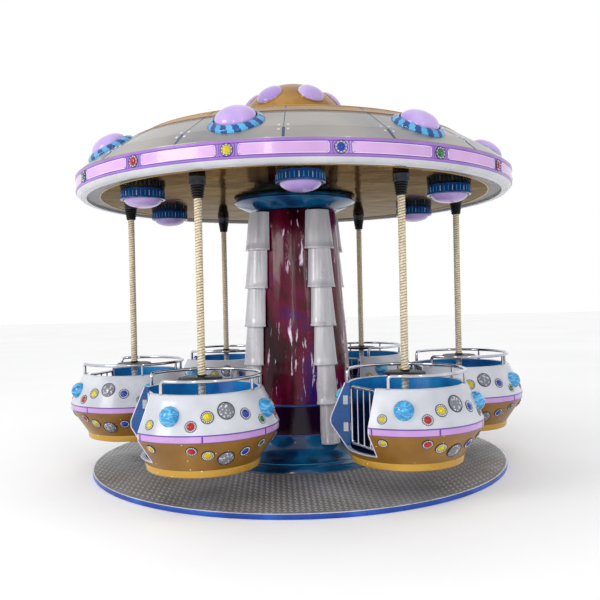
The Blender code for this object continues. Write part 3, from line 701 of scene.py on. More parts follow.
show("bell_skirt", bell_mesh(), "base", ["column_bell"])
show("column_skin", column_mesh(), "base", ["column_shell"])
stack = cup_stack()
for n, azimuth in enumerate((27.7, 126.4, 207.7, 306.4), start=1):
    turn = Matrix.Rotation(math.radians(azimuth), 4, "Z")
    show(f"cup_stack_{n}", stack, "base", [f"spine_{n}"], turn)

# %% [markdown]
# ## Stones in settings
# The same jewel is used all over the ride: a dark dish, a ring of small white beads and a cut stone. It is
# built at each seat from its colour and size, with its foot sunk below zero, so it can sit on a curved shell.


# %% Stones
def bead(radius):
    """A small eight-sided pearl."""
    return turned([(0, -radius), (radius * 0.75, -radius * 0.6), (radius, 0), (radius * 0.7, radius * 0.7), (0, radius)], 6)


def cut_stone(radius, rise, sides=10):
    """A brilliant's crown: girdle, two rows of facets and a table."""
    rings = [(radius, 0.0, 0.0), (radius, rise * 0.25, 0.0), (radius * 0.72, rise * 0.72, 0.5), (radius * 0.42, rise, 0.0)]
    points, faces = [], []
    for size, height, shift in rings:
        for k in range(sides):
            a = math.tau * (k + shift) / sides
            points.append((size * math.cos(a), size * math.sin(a), height))
    for r in range(3):
        for k in range(sides):
            a, b = r * sides + k, r * sides + (k + 1) % sides
            c, d = a + sides, b + sides
            if rings[r][2] == rings[r + 1][2]:
                faces.append((a, b, d, c))
            elif rings[r + 1][2] > rings[r][2]:
                faces += [(a, b, c), (b, d, c)]
            else:
                faces += [(a, b, d), (a, d, c)]
    faces.append(tuple(range(3 * sides, 4 * sides)))
    return np.array(points), faces


def jewel(made, place, radius, colour, beads=16):
    """A dark rim, a grey dish, beads and a stone, added to a piece at a seat."""
    rim = [(radius * 0.98, -0.006), (radius, 0.002), (radius * 0.975, 0.0045), (radius * 0.93, 0.0048), (radius * 0.91, 0.002)]
    made.add(turned(rim, 24), SETTING, place)
    made.add(turned([(radius * 0.91, 0.002), (radius * 0.5, 0.0025), (0.0, 0.0025)], 24), DISH, place)
    clear = colour == "clear"
    for k in range(beads):
        a = math.tau * (k + 0.5) / beads
        spot = Matrix.Translation((radius * 0.79 * math.cos(a), radius * 0.79 * math.sin(a), 0.0035))
        if not clear:
            made.add(bead(radius * 0.105), BEAD, place @ spot)
    made.add(cut_stone(radius * (0.86 if clear else 0.64), radius * 0.26, 14 if clear else 10), STONES[colour],
             place @ Matrix.Translation((0, 0, 0.001)), flat=True)


print("stones", sorted(STONES))

# %% [markdown]
# ## Canopy
# The saucer is built from below: a mirror ceiling with its trim and lamps, a white rim, the lilac band with
# panels and stones, the pewter cap with its seams and rivets, the gold crown and the windowed dome.

# %% Ceiling and collar
CEILING_LOW, CEILING_TOP, CEILING_RADIUS, TRIM = 2.285, 2.302, 1.775, 1.669
LAMP_ORBIT, LAMP_RING, LAMP_GLASS, LAMP_RING_LOW, LAMP_LOW = 1.40, 0.175, 0.145, 2.207, 2.147


def ceiling_lamp(made, place):
    """A fluted blue drum with a milky bowl, looking down. Its ribs are real, their light blue and pale colours are
    painted highlights. Made upwards and turned over by its place.
    """
    tall = CEILING_LOW - LAMP_RING_LOW
    flutes = lambda turns, heights: 0.0016 * np.cos(34 * turns) * (heights > 0.012) * (heights < tall - 0.008)
    drum = [(0.166, -0.004), (0.170, 0.004), (0.169, 0.014), (0.171, 0.030), (0.173, tall - 0.016)]
    drum += [(LAMP_RING, tall - 0.008), (0.1735, tall - 0.002), (0.168, tall), (0.156, tall - 0.001)]
    made.add(turned(drum, 136, swell=flutes), DEEP, place)
    # Painted highlights: the ribs are light blue, and every third one pale, for the bright upright glints on the drum.
    for k in range(34):
        a = math.tau * k / 34
        rib = Matrix.Rotation(a, 4, "Z") @ Matrix.Translation((0.1725, 0, tall * 0.52))
        made.add(slab((0.0035, 0.006, tall * 0.52), bevel=0.0012), SKY if k % 3 else ALLOY, place @ rib)
    # A near-black ring fills the gap before the bowl: painted shade.
    made.add(turned([(0.156, tall - 0.001), (0.150, tall - 0.006), (0.146, tall - 0.003)], 96), GAP_SHADE, place)
    deep = LAMP_RING_LOW - LAMP_LOW
    bowl = [(LAMP_GLASS * math.cos(a), tall - 0.003 + (deep + 0.003) * math.sin(a))
            for a in (math.pi / 2 * k / 12 for k in range(13))]
    made.add(turned(bowl, 96), MILK, place)


def ceiling_mesh():
    made = Piece()
    rings = [(r, CEILING_LOW) for r in (0.0, 0.3, 0.6, 0.9, 1.2, 1.45, TRIM)]
    made.add(turned(rings, 240), CEILING)
    made.add(turned([(TRIM, CEILING_LOW), (CEILING_RADIUS, CEILING_LOW), (CEILING_RADIUS, CEILING_TOP), (0, CEILING_TOP)], 240), OUTER)
    made.add(turned(arc(TRIM, CEILING_LOW + 0.001, 0.006, -180, 0, 8), 240), BRASS)
    upside = Matrix.Rotation(math.pi, 4, "X")
    for k in range(6):
        spot = Matrix.Translation(at(math.tau * k / 6, LAMP_ORBIT, CEILING_LOW))
        ceiling_lamp(made, spot @ upside)
    for k in range(6):
        cup = [(0.0, 2.226), (0.052, 2.226), (0.056, 2.230), (0.058, 2.238), (0.058, 2.276), (0.063, CEILING_LOW)]
        made.add(turned(cup, 48), CUP_DARK, Matrix.Translation(at(math.radians(30 + 60 * k), 1.45)))
    return told("ceiling", made.mesh("ceiling"))


def collar_mesh():
    line = [(0.0, 2.175), (0.372, 2.175), (0.40, 2.1865), (0.47, 2.2165), (0.515, 2.236)]
    line += arc(0.527, 2.2545, 0.0085, -60, 60, 8) + [(0.519, 2.268), (0.515, 2.2845), (0.0, 2.2845)]
    return told("collar", Piece().add(turned(line, 200), TEAL).mesh("collar"))


OUTER = paint("outer_grey_ring", [(62, 62, 68), (92, 92, 98)], 0.3, 0.5)
CUP_DARK = paint("dark_blue_cup", [(6, 8, 16), (12, 18, 40)], 0.3, coat=0.1)
show("mirror_ceiling", ceiling_mesh(), "canopy", ["ceiling_panel"])
show("collar_flare", collar_mesh(), "canopy", ["ceiling_collar"])

# %% [markdown]
# ## Rim and lilac band
# Under the band runs a white rim that leans in. The band holds sixteen stones, and between them sixteen
# long panels with rounded corners and a bright bead, which look lit from behind.

# %% Rim and band
BAND_LOW, BAND_HIGH, BAND_RADIUS = 2.3023, 2.421, 1.861
STONE_COUNT, STONE_FIRST = 16, math.radians(7.5)
STONE_COLOURS = ["blue", "green", "red", "yellow"]


def rim_mesh():
    line = [(1.7753, 2.268), (1.816, 2.268), (1.823, 2.2695), (1.836, 2.282), (1.8455, 2.2925), (1.8495, 2.298)]
    line += [(1.850, 2.302), (1.7753, 2.302)]
    made = Piece().add(turned(line, 280, closed=True), RIM_WHITE)
    return told("rim", made.mesh("rim"))


def rounded_panel(low, high, first, last, radius, corner=0.014, steps=26):
    """Outline of a long panel on the band, as azimuth and height pairs, with round corners."""
    turn = corner / radius
    spots = []
    for centre, height, start in ((last - turn, high - corner, 0), (first + turn, high - corner, 90),
                                  (first + turn, low + corner, 180), (last - turn, low + corner, 270)):
        for k in range(5):
            a = math.radians(start + 22.5 * k)
            spots.append((centre + turn * math.cos(a), height + corner * math.sin(a)))
    top = [(last - turn + (first - last + 2 * turn) * k / steps, high) for k in range(1, steps)]
    low_run = [(first + turn + (last - first - 2 * turn) * k / steps, low) for k in range(1, steps)]
    return spots[:5] + top + spots[5:15] + low_run + spots[15:]


def band_mesh():
    face = 1.8545
    line = [(0.0, BAND_LOW), (1.853, BAND_LOW), (1.8575, BAND_LOW + 0.003), (BAND_RADIUS - 0.001, BAND_LOW + 0.009)]
    line += [(1.858, BAND_LOW + 0.014), (face, BAND_LOW + 0.017), (face, BAND_HIGH - 0.019), (1.8575, BAND_HIGH - 0.016)]
    line += [(BAND_RADIUS, BAND_HIGH - 0.010), (BAND_RADIUS, BAND_HIGH - 0.005), (1.8585, BAND_HIGH), (0.0, BAND_HIGH)]
    made = Piece().add(turned(line, 288), LILAC)
    for height in (BAND_LOW + 0.0175, BAND_HIGH - 0.0195):
        made.add(turned(arc(face, height, 0.0022, -90, 90, 4), 288), PURPLE)
    step, free = math.tau / STONE_COUNT, math.radians(2.35)
    for k in range(STONE_COUNT):
        azimuth = STONE_FIRST + step * k
        made_of = rounded_panel(2.3265, 2.3955, azimuth + free, azimuth + step - free, face)
        for inset, tube, finish in ((0.0, 0.0026, EDGE), (-0.0055, 0.0016, PURPLE)):
            grown = rounded_panel(2.3265 + inset, 2.3955 - inset, azimuth + free + inset / face,
                                  azimuth + step - free - inset / face, face, 0.014 - inset)
            made.add(pipe([at(a, face + 0.0006, h) for a, h in grown], tube, 6, True), finish)
        half = len(made_of) // 2
        rows = 24
        cells = []
        for i in range(rows + 1):
            a = azimuth + free + 0.002 + (step - 2 * free - 0.004) * i / rows
            near_end = min(i, rows - i) == 0
            for j in range(5):
                h = 2.3955 - 0.069 * j / 4
                if near_end and j in (0, 4):
                    h += 0.012 if j == 4 else -0.012
                cells.append(at(a, face + 0.0012, h))
        made.add((np.array(cells), [f[::-1] for f in grid(rows + 1, 5, False, False)]), PANEL)
        place = seat(azimuth, face + 0.001, 2.3615, 0.0)
        frame_path = rounded_panel(2.309 + 0.006, 2.4135 - 0.006, azimuth - 0.029, azimuth + 0.029, face, 0.024, 6)
        made.add(pipe([at(a, face + 0.0004, h) for a, h in frame_path], 0.0022, 6, True), PURPLE)
        jewel(made, place @ Matrix.Scale(0.9, 4, (0, 0, 1)), 0.0435, STONE_COLOURS[k % 4], beads=10)
    return told("band", made.mesh("band"))


show("rim_white_ring", rim_mesh(), "canopy", ["rim_ring"])
show("lilac_band", band_mesh(), "canopy", ["fascia_band"])

# %% [markdown]
# ## Cap
# The pewter cap is bent from sixteen sheets. Where they meet there is a blue line, wider on the steep
# skirt, crossed at the shoulder by a second line that runs round. Four rivets sit about each crossing.

# %% Cap
SKIRT_FOOT, SHOULDER, GOLD_BORDER = (1.860, 2.4273), (1.760, 2.515), (1.475, 2.693)
SLOPE = math.atan2(GOLD_BORDER[1] - SHOULDER[1], SHOULDER[0] - GOLD_BORDER[0])
SKIRT = math.atan2(SHOULDER[1] - SKIRT_FOOT[1], SKIRT_FOOT[0] - SHOULDER[0])
TOP_LAMPS, TOP_ORBIT, TOP_FIRST = 8, 1.645, math.radians(-15)
TOP_RING, TOP_GLASS, TOP_RING_RISE, TOP_GLASS_RISE = 0.195, 0.140, 0.034, 0.072


def along(start, end, share):
    return tuple(a + (b - a) * share for a, b in zip(start, end))


def strip(made, azimuth, start, end, width, rise, finish, parts=8):
    """A thin raised line up the cap from one profile point to another."""
    lean = math.atan2(end[1] - start[1], start[0] - end[0])
    normal = math.pi / 2 - lean
    rows = []
    for i in range(parts + 1):
        radius, height = along(start, end, i / parts)
        for across, lift in ((-0.5, -0.001), (-0.42, rise), (0.42, rise), (0.5, -0.001)):
            turn = azimuth + across * width / radius
            rows.append(at(turn, radius + lift * math.cos(normal), height + lift * math.sin(normal)))
    made.add((np.array(rows), grid(parts + 1, 4, False, False)), finish)


def top_lamp(made, place):
    """A flared ring of slanting flutes in two blues around a milky bowl."""
    flutes, fine, levels = 26, 5, 9
    turns = flutes * fine
    points = []
    line = [(0.180, -0.046), (0.192, -0.022), (TOP_RING, -0.008), (TOP_RING, 0.002), (0.190, 0.012),
            (0.180, 0.021), (0.169, 0.029), (0.158, TOP_RING_RISE), (0.149, 0.030)]
    for i in range(turns):
        for j, (radius, height) in enumerate(line):
            wave = 0.0035 * abs(math.sin(math.pi * (i / fine + 0.11 * j))) if 0 < j < 7 else 0.0
            points.append(at(math.tau * i / turns, radius - wave, height))
    faces = grid(turns, levels, True, False)
    for shade, finish in ((0, SKY), (1, DEEP)):
        picked = [f for n, f in enumerate(faces) if int((n // (levels - 1)) / fine + 0.11 * (n % (levels - 1))) % 2 == shade]
        made.add((np.array(points), picked), finish, place)
    # A near-black ring fills the gap before the bowl: painted shade.
    made.add(turned([(0.149, 0.028), (0.1455, 0.020), (0.141, 0.024)], 96), GAP_SHADE, place)
    rise = TOP_RING_RISE + TOP_GLASS_RISE - 0.024
    bowl = [(0.141 * math.cos(a), 0.024 + rise * math.sin(a)) for a in (math.pi / 2 * k / 14 for k in range(15))]
    made.add(turned(bowl, 96), MILK, place)


def cap_mesh():
    made = Piece()
    skirt = [(0.0, 2.4213), (1.8595, 2.4213), SKIRT_FOOT]
    skirt += [along(SKIRT_FOOT, SHOULDER, s) for s in (0.25, 0.5, 0.75, 0.93)]
    slope = [along(SHOULDER, GOLD_BORDER, s) for s in (0.03, 0.25, 0.5, 0.75)] + [GOLD_BORDER, (0.0, GOLD_BORDER[1])]
    made.add(turned(skirt + slope, 288), PEWTER)
    made.add(turned(arc(SHOULDER[0] - 0.0045, SHOULDER[1] - 0.003, 0.0045, -10, 110, 5), 288), SEAM)
    for k in range(16):
        azimuth = math.radians(-3.75 + 22.5 * k)
        strip(made, azimuth, SKIRT_FOOT, along(SKIRT_FOOT, SHOULDER, 0.94), 0.020, 0.0016, SEAM)
        strip(made, azimuth, along(SHOULDER, GOLD_BORDER, 0.04), along(SHOULDER, GOLD_BORDER, 0.99), 0.006, 0.0012, SEAM)
        for side in (-1, 1):
            for base, lean, share in ((SHOULDER, SLOPE, 0.10), (SKIRT_FOOT, SKIRT, 0.72)):
                end = GOLD_BORDER if base is SHOULDER else SHOULDER
                radius, height = along(base, end, share)
                spot = seat(azimuth + side * 0.030 / radius, radius, height, math.pi / 2 - lean)
                made.add(turned([(0.011, -0.002), (0.0105, 0.0015), (0.0075, 0.0042), (0.0, 0.0055)], 14), ALLOY, spot)
    for k in range(TOP_LAMPS):
        azimuth = TOP_FIRST + math.tau * k / TOP_LAMPS
        height = SHOULDER[1] + (SHOULDER[0] - TOP_ORBIT) * math.tan(SLOPE)
        tilt = Matrix.Rotation(azimuth, 4, "Z") @ Matrix.Rotation(SLOPE, 4, "X")
        top_lamp(made, Matrix.Translation(at(azimuth, TOP_ORBIT, height)) @ tilt)
    return told("cap", made.mesh("cap"))


show("pewter_cap", cap_mesh(), "canopy", ["canopy_cap"])

# %% [markdown]
# ## Crown and dome
# The crown is gold paint with a broad brim. The dome on top carries six round windows: a milky bowl in a
# thin rim, set on the sphere where a circle of its size lies, so that the rim touches all round.

# %% Crown and dome
GOLD_BREAK, DOME_FOOT = (1.350, 2.762), (0.470, 3.000)
DOME_RADIUS, DOME_TOP = 0.505, 3.302
DOME_CENTRE = DOME_TOP - DOME_RADIUS
WINDOW, WINDOW_BULGE, WINDOW_LIFT = 0.125, 0.040, math.radians(44.5)


def crown_mesh():
    foot = (GOLD_BORDER[0], GOLD_BORDER[1] + 0.0003)
    line = [(0.0, foot[1]), foot, (1.4745, foot[1] + 0.004), along(foot, GOLD_BREAK, 0.5), GOLD_BREAK]
    line += [along(GOLD_BREAK, DOME_FOOT, s) for s in (0.02, 0.25, 0.5, 0.75, 1.0)] + [(0.0, DOME_FOOT[1])]
    made = Piece().add(turned(line, 260), GOLD)
    made.add(turned(arc(1.3485, 2.7615, 0.004, -20, 120, 5), 260), BRIGHT_GOLD)
    for k in range(16):
        strip(made, math.radians(-3.75 + 22.5 * k), foot, GOLD_BREAK, 0.012, 0.0012, SEAM)
    return told("crown", made.mesh("crown"))


def dome_mesh():
    low = DOME_FOOT[1] + 0.0003
    first = math.degrees(math.asin((low - DOME_CENTRE) / DOME_RADIUS))
    made = Piece().add(turned([(0.0, low)] + arc(0.0, DOME_CENTRE, DOME_RADIUS, first, 90, 26), 144), BROWN_GOLD)
    foot = DOME_RADIUS * math.cos(math.radians(first))
    made.add(turned(arc(foot - 0.001, low + 0.006, 0.006, -90, 90, 6), 144), BRASS)
    plane = math.sqrt(DOME_RADIUS**2 - WINDOW**2)
    bulge = DOME_RADIUS - plane + WINDOW_BULGE
    for k in range(6):
        azimuth = math.radians(-35 + 60 * k)
        centre = at(azimuth, plane * math.cos(WINDOW_LIFT), DOME_CENTRE + plane * math.sin(WINDOW_LIFT))
        place = seat(azimuth, math.hypot(centre.x, centre.y), centre.z, WINDOW_LIFT)
        bowl = [(WINDOW * 0.94 * math.cos(a), bulge * math.sin(a)) for a in (math.pi / 2 * i / 12 for i in range(13))]
        made.add(turned(bowl, 64), MILK, place)
        made.add(turned(arc(WINDOW * 0.965, 0.001, 0.0065, -60, 180, 8), 64), BRASS, place)
    return told("dome", made.mesh("dome"))


show("gold_crown", crown_mesh(), "canopy", ["canopy_crown"])
show("window_dome", dome_mesh(), "canopy", ["crown_dome"])

# %% [markdown]
# ## Poles, boots and hand discs
# A pole is dressed with two strands of cream rope, wound so that they show as a slanting row every two
# centimetres. Turning the radius by angle and height makes the strands as a real relief. Above it a rubber
# boot with folds joins pole and ceiling.

# %% Poles
POLE_ORBIT = 1.45
DISC_LOW, DISC_TOP, DISC_RADIUS = 0.850, 0.874, 0.148
BOOT_LOW, BOOT_TOP = 2.133, 2.230


def rope_shell(low, high, radius, relief_depth, row=0.020, strands=2, around=20, steps=7):
    """A wound sleeve: its radius swells along each strand and sinks between strands.
    It gives the strands and the dark grooves apart, as two shells over the same points."""
    levels = int((high - low) / row * steps)

    def groove(turn, height):
        return np.abs(np.sin(math.pi * (height / row - strands * turn / math.tau)))

    points, faces = turned([(radius, low + (high - low) * k / levels) for k in range(levels + 1)], around,
                           swell=lambda turns, heights: relief_depth * (np.sqrt(groove(turns, heights)) - 1))
    deep = [groove(math.tau * (n // levels + 0.5) / around, low + (high - low) * (n % levels + 0.5) / levels) < 0.42
            for n in range(len(faces))]
    return (points, [f for f, d in zip(faces, deep) if not d]), (points, [f for f, d in zip(faces, deep) if d])


def pole_mesh():
    made = Piece()
    # The rope's groove faces take the darker finish: painted shade between the strands.
    for shell, finish in zip(rope_shell(DISC_TOP + 0.012, BOOT_LOW + 0.006, 0.0285, 0.0070), (ROPE, ROPE_GROOVE_SHADE)):
        made.add(shell, finish)
    for shell, finish in zip(rope_shell(0.330, DISC_LOW, 0.0270, 0.0040, 0.026, 1), (SLEEVE, STEEL)):
        made.add(shell, finish)
    core = [(0.0, 0.266), (0.060, 0.266), (0.060, 0.277), (0.058, 0.279), (0.021, 0.279), (0.021, 0.316), (0.034, 0.316)]
    core += [(0.034, 0.326), (0.030, 0.332), (0.022, 0.334), (0.021, 2.132), (0.012, 2.137), (0.012, 2.183)]
    core = [(r, z - 0.010 if z < 0.28 else z) for r, z in core]
    made.add(turned(core + arc(0.0, 2.215, 0.034, -69, 90, 14), 32), CHROME)
    made.add(turned([(0.0285, DISC_TOP), (0.036, DISC_TOP + 0.001), (0.036, DISC_TOP + 0.010), (0.030, DISC_TOP + 0.014), (0.020, DISC_TOP + 0.014)], 32), BLACK)
    return told("pole", made.mesh("pole", 50))


def disc_mesh():
    line = [(0.0280, DISC_LOW), (0.10, DISC_LOW), (0.138, DISC_LOW + 0.001), (0.146, DISC_LOW + 0.007), (DISC_RADIUS, DISC_LOW + 0.013)]
    line += [(0.146, DISC_TOP - 0.005), (0.140, DISC_TOP - 0.001), (0.128, DISC_TOP), (0.124, DISC_TOP - 0.0025)]
    line += [(0.120, DISC_TOP), (0.050, DISC_TOP), (0.0280, DISC_TOP)]
    made = Piece().add(turned(line, 96, closed=True), BLACK)
    for k in range(4):
        a = math.tau * (k + 0.5) / 4
        bolt = Matrix.Translation((0.044 * math.cos(a), 0.044 * math.sin(a), DISC_TOP))
        made.add(turned([(0.006, 0.0), (0.006, 0.003), (0.0045, 0.0042), (0.0, 0.0042)], 6), STEEL, bolt, flat=True)
    return told("hand disc", made.mesh("hand_disc"))


def boot_mesh(folds=5):
    """Rubber folds that narrow towards the pole."""
    line = [(0.020, BOOT_LOW + 0.004), (0.030, BOOT_LOW), (0.036, BOOT_LOW + 0.003)]
    for k in range(folds):
        share = (k + 0.5) / folds
        middle = BOOT_LOW + 0.004 + (BOOT_TOP - BOOT_LOW - 0.008) * share
        half = (BOOT_TOP - BOOT_LOW - 0.008) / folds / 2
        wide = 0.041 + 0.014 * share
        line += [(wide - 0.009, middle - half * 0.95), (wide - 0.002, middle - half * 0.5), (wide, middle),
                 (wide - 0.002, middle + half * 0.5)]
    line += [(0.047, BOOT_TOP - 0.001), (0.043, BOOT_TOP)]
    return told("boot", Piece().add(turned(line, 48), BLACK).mesh("boot", 60))


def hang_poles():
    pole, disc, boot = pole_mesh(), disc_mesh(), boot_mesh()
    for n in range(1, 7):
        spot = Matrix.Translation(at(math.radians(30 + 60 * (n - 1)), POLE_ORBIT))
        show(f"rope_pole_{n}", pole, f"hanger_{n}", [f"pole_{n}"], spot)
        show(f"black_disc_{n}", disc, f"hanger_{n}", [f"hand_disc_{n}"], spot)
        mesh = boot.copy()
        mesh.transform(spot)
        made = bpy.data.objects.new(f"boot_{n}", mesh)
        bpy.context.scene.collection.objects.link(made)
        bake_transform(made)


hang_poles()

# %% [markdown]
# ## Tubs
# A tub is two cones set mouth to mouth: pearl above, gold below, a lilac band at the fold and a bright
# ring at the foot. The doorway is cut by turning the upper part only round the rest of the circle. All
# six tubs are alike, so one mesh is made and then turned to each tub's own heading.

# %% Tub sizes
RIM_OUT, RIM_IN, RIM_TOP = 0.432, 0.398, 0.800
FOLD, FOLD_TOP, FOLD_LOW = 0.541, 0.552, 0.510
FOOT, FOOT_TOP, FOOT_LOW = 0.404, 0.303, 0.252
FLOOR_TOP, FLOOR_LOW, SILL = 0.310, 0.285, 0.345
DOOR = math.radians(28.5)
BENCH_TOP, BENCH_IN, BENCH_HALF = 0.510, 0.240, math.radians(87)
UPPER_LEAN = math.atan2(FOLD - RIM_OUT, RIM_TOP - FOLD_TOP)
LOWER_LEAN = -math.atan2(FOLD - FOOT, FOLD_LOW - FOOT_TOP)
BALL_SIZE = 0.068


def lower_radius(height):
    return FOOT + (FOLD - FOOT) * (height - FOOT_TOP) / (FOLD_LOW - FOOT_TOP)


print("lean of the cones", round(math.degrees(UPPER_LEAN), 1), round(math.degrees(LOWER_LEAN), 1))


# %% Tub shell
def tub_shell(made):
    open_turn = {"start": DOOR, "sweep": math.tau - 2 * DOOR}
    rim = [along((FOLD, FOLD_TOP + 0.006), (RIM_OUT, RIM_TOP), s) for s in (0, 0.2, 0.4, 0.6, 0.8, 0.965)]
    rim += [(RIM_OUT - 0.003, RIM_TOP - 0.002), (RIM_OUT - 0.008, RIM_TOP), (RIM_IN + 0.004, RIM_TOP), (RIM_IN, RIM_TOP - 0.004)]
    made.add(turned(rim, 132, **open_turn), PEARL)
    made.add(turned(arc(FOLD - 0.0012, FOLD_TOP + 0.003, 0.0042, -90, 110, 6), 132, **open_turn), PURPLE)
    made.add(turned([(FOLD - 0.001, FOLD_LOW + 0.002), (FOLD, FOLD_LOW + 0.006), (FOLD, FOLD_TOP - 0.005), (FOLD - 0.001, FOLD_TOP)], 132, **open_turn), TUB_LILAC)
    made.add(turned(arc(FOLD - 0.003, FOLD_LOW, 0.0026, -100, 80, 5), 132, **open_turn), PURPLE)
    gold = [(lower_radius(h), h) for h in (SILL, 0.39, 0.43, 0.47, FOLD_LOW - 0.001)]
    made.add(turned(gold, 132, **open_turn), GOLD)
    made.add(turned([(FOOT + 0.0005, FOOT_TOP), (lower_radius(0.325), 0.325), (lower_radius(SILL), SILL)], 156), GOLD)
    foot = [(0.024, FLOOR_LOW), (0.370, FLOOR_LOW)], [(0.370, FOOT_LOW), (FOOT - 0.012, FOOT_LOW), (FOOT - 0.005, FOOT_LOW + 0.005)]
    ring = [(FOOT - 0.002, FOOT_LOW + 0.02), (FOOT, FOOT_TOP - 0.006), (FOOT - 0.001, FOOT_TOP - 0.001), (FOOT - 0.004, FOOT_TOP)]
    made.add(turned(foot[0] + [(0.370, FOOT_LOW)], 156), NAVY_AND_PAINTED_SHADE)
    made.add(turned(foot[1] + ring + [(FOOT - 0.004, FOOT_TOP + 0.001)], 156), BRIGHT_GOLD)
    inside = [(RIM_IN, RIM_TOP - 0.004), (RIM_IN, 0.65), (RIM_IN, BENCH_TOP), (RIM_IN, SILL)]
    # Inside wall: bright blue above, navy painted shade lower down.
    made.add(turned(inside, 132, **open_turn), INSIDE_PAINTED_SHADE)
    # The inner floor and the wall under the sill are navy painted shade, where little light reaches.
    made.add(turned([(RIM_IN, SILL), (RIM_IN, FLOOR_TOP), (0.3, FLOOR_TOP), (0.15, FLOOR_TOP), (0.024, FLOOR_TOP), (0.024, FLOOR_LOW)], 156), NAVY_AND_PAINTED_SHADE)
    sill = [(lower_radius(SILL - 0.004) + 0.001, SILL - 0.006), (lower_radius(SILL) + 0.003, SILL - 0.001)]
    sill += [(lower_radius(SILL), SILL + 0.0015), (RIM_IN + 0.004, SILL + 0.0015), (RIM_IN - 0.001, SILL - 0.001), (RIM_IN, SILL - 0.008)]
    made.add(turned(sill, 26, start=-DOOR, sweep=2 * DOOR), RIM_WHITE)


def jamb_plate(made, side):
    """The flat blue end of the wall beside the door, with a pale bead round its outer edge."""
    outline = [(RIM_IN, SILL), (lower_radius(SILL), SILL), (FOLD, FOLD_LOW), (FOLD, FOLD_TOP), (RIM_OUT, RIM_TOP), (RIM_IN, RIM_TOP)]
    lift = 0.0015
    turn = side * (DOOR - lift / 0.45)
    points = [at(turn, r, h) for r, h in outline]
    face = tuple(range(len(points)))
    made.add((np.array(points), [face if side < 0 else face[::-1]]), NAVY_DOOR)
    edge = [at(side * (DOOR - 0.002), r - 0.001, h) for r, h in outline[1:5]]
    made.add(pipe([edge[0]] + [edge[0].lerp(edge[1], s) for s in (0.5, 0.97)] + [edge[1].lerp(edge[2], 0.5)]
                  + [edge[2].lerp(edge[3], s) for s in (0.03, 0.5, 1.0)], 0.0042, 8), EDGE)


def bench(made):
    """A blue seat round the back, open at the door. Its front edge is rounded."""
    first, sweep = math.pi - BENCH_HALF, 2 * BENCH_HALF
    line = [(BENCH_IN, FLOOR_TOP), (BENCH_IN, BENCH_TOP - 0.02)] + arc(BENCH_IN + 0.02, BENCH_TOP - 0.02, 0.02, 180, 90, 5)
    line += [(0.33, BENCH_TOP - 0.004), (RIM_IN - 0.01, BENCH_TOP - 0.002), (RIM_IN, BENCH_TOP + 0.008)]
    # The seat takes the inside finish, so at its height it shows navy painted shade.
    made.add(turned(line[::-1], 72, start=first, sweep=sweep), INSIDE_PAINTED_SHADE)
    corner = [(RIM_IN, FLOOR_TOP)] + line
    for turn, flip in ((first, 1), (first + sweep, -1)):
        points = [at(turn, r, h) for r, h in corner]
        made.add((np.array(points), [tuple(range(len(points)))[::flip]]), INSIDE_PAINTED_SHADE)


NAVY_DOOR = paint("jamb_blue", [(6, 62, 122), (12, 82, 146)], 0.26, coat=0.2)

# %% [markdown]
# ### Stones, balls and dividers of a tub
# Between the marbled balls the stones repeat in one order: red, yellow, clear, blue, green. The clear one
# is the largest and sits highest. The same order is kept round the back, which the picture doesn't show.

# %% Tub jewels
JEWELS = {"red": (0.0385, 0.76, 0.27), "yellow": (0.0435, 0.55, 0.45), "clear": (0.060, 0.42, 0.60),
          "blue": (0.041, 0.55, 0.45), "green": (0.0338, 0.76, 0.27)}
OFFSETS = {"red": 17.0, "yellow": 29.0, "clear": 44.0, "blue": 60.0, "green": 75.0}
BALL_TURNS = (54.0, 139.0, 221.0, 306.0)


def on_upper(turn, drop):
    radius, height = along((RIM_OUT, RIM_TOP), (FOLD, FOLD_TOP), drop)
    return seat(math.radians(turn), radius, height, math.pi / 2 - (math.pi / 2 - UPPER_LEAN))


def on_lower(turn, drop):
    radius, height = along((FOLD, FOLD_LOW), (FOOT, FOOT_TOP), drop)
    return seat(math.radians(turn), radius, height, LOWER_LEAN)


def tub_jewels(made):
    for first, last in zip(BALL_TURNS, BALL_TURNS[1:]):
        for colour, (radius, up, down) in JEWELS.items():
            turn = first + OFFSETS[colour] * (last - first) / 85.0
            jewel(made, on_upper(turn, up), radius, colour)
            jewel(made, on_lower(turn, down), radius, colour)
    for turn in (38.0, 322.0):
        jewel(made, on_upper(turn, 0.75), 0.034, "yellow")
        jewel(made, on_lower(turn, 0.25), 0.034, "yellow")
    for turn in BALL_TURNS:
        place = on_upper(turn, 0.52)
        bowl = [(BALL_SIZE * math.cos(a), (BALL_SIZE - 0.007) * math.sin(a)) for a in (math.pi / 2 * i / 14 for i in range(15))]
        made.add(turned([(BALL_SIZE, -0.008)] + bowl, 56), BALL, place)
    for k in range(7):
        turn = math.radians(28.5 + 50.5 * k if k else 31.0)
        turn = math.radians(329.0) if k == 6 else turn
        place = seat(turn, FOLD, (FOLD_LOW + FOLD_TOP) / 2, 0.0)
        made.add(slab((0.011, FOLD_TOP - FOLD_LOW - 0.004, 0.004), bevel=0.0015), PURPLE, place)


# %% [markdown]
# ### Hinges
# Each hinge has a leaf screwed to the jamb and knuckles round the pin. They are small, but at the door
# they are the first thing that a hand meets, so they are built and not painted.

# %% Hinges and tub assembly
PIN = Vector((-0.178, -0.352, 0.0))
HINGES = (0.482, 0.675)


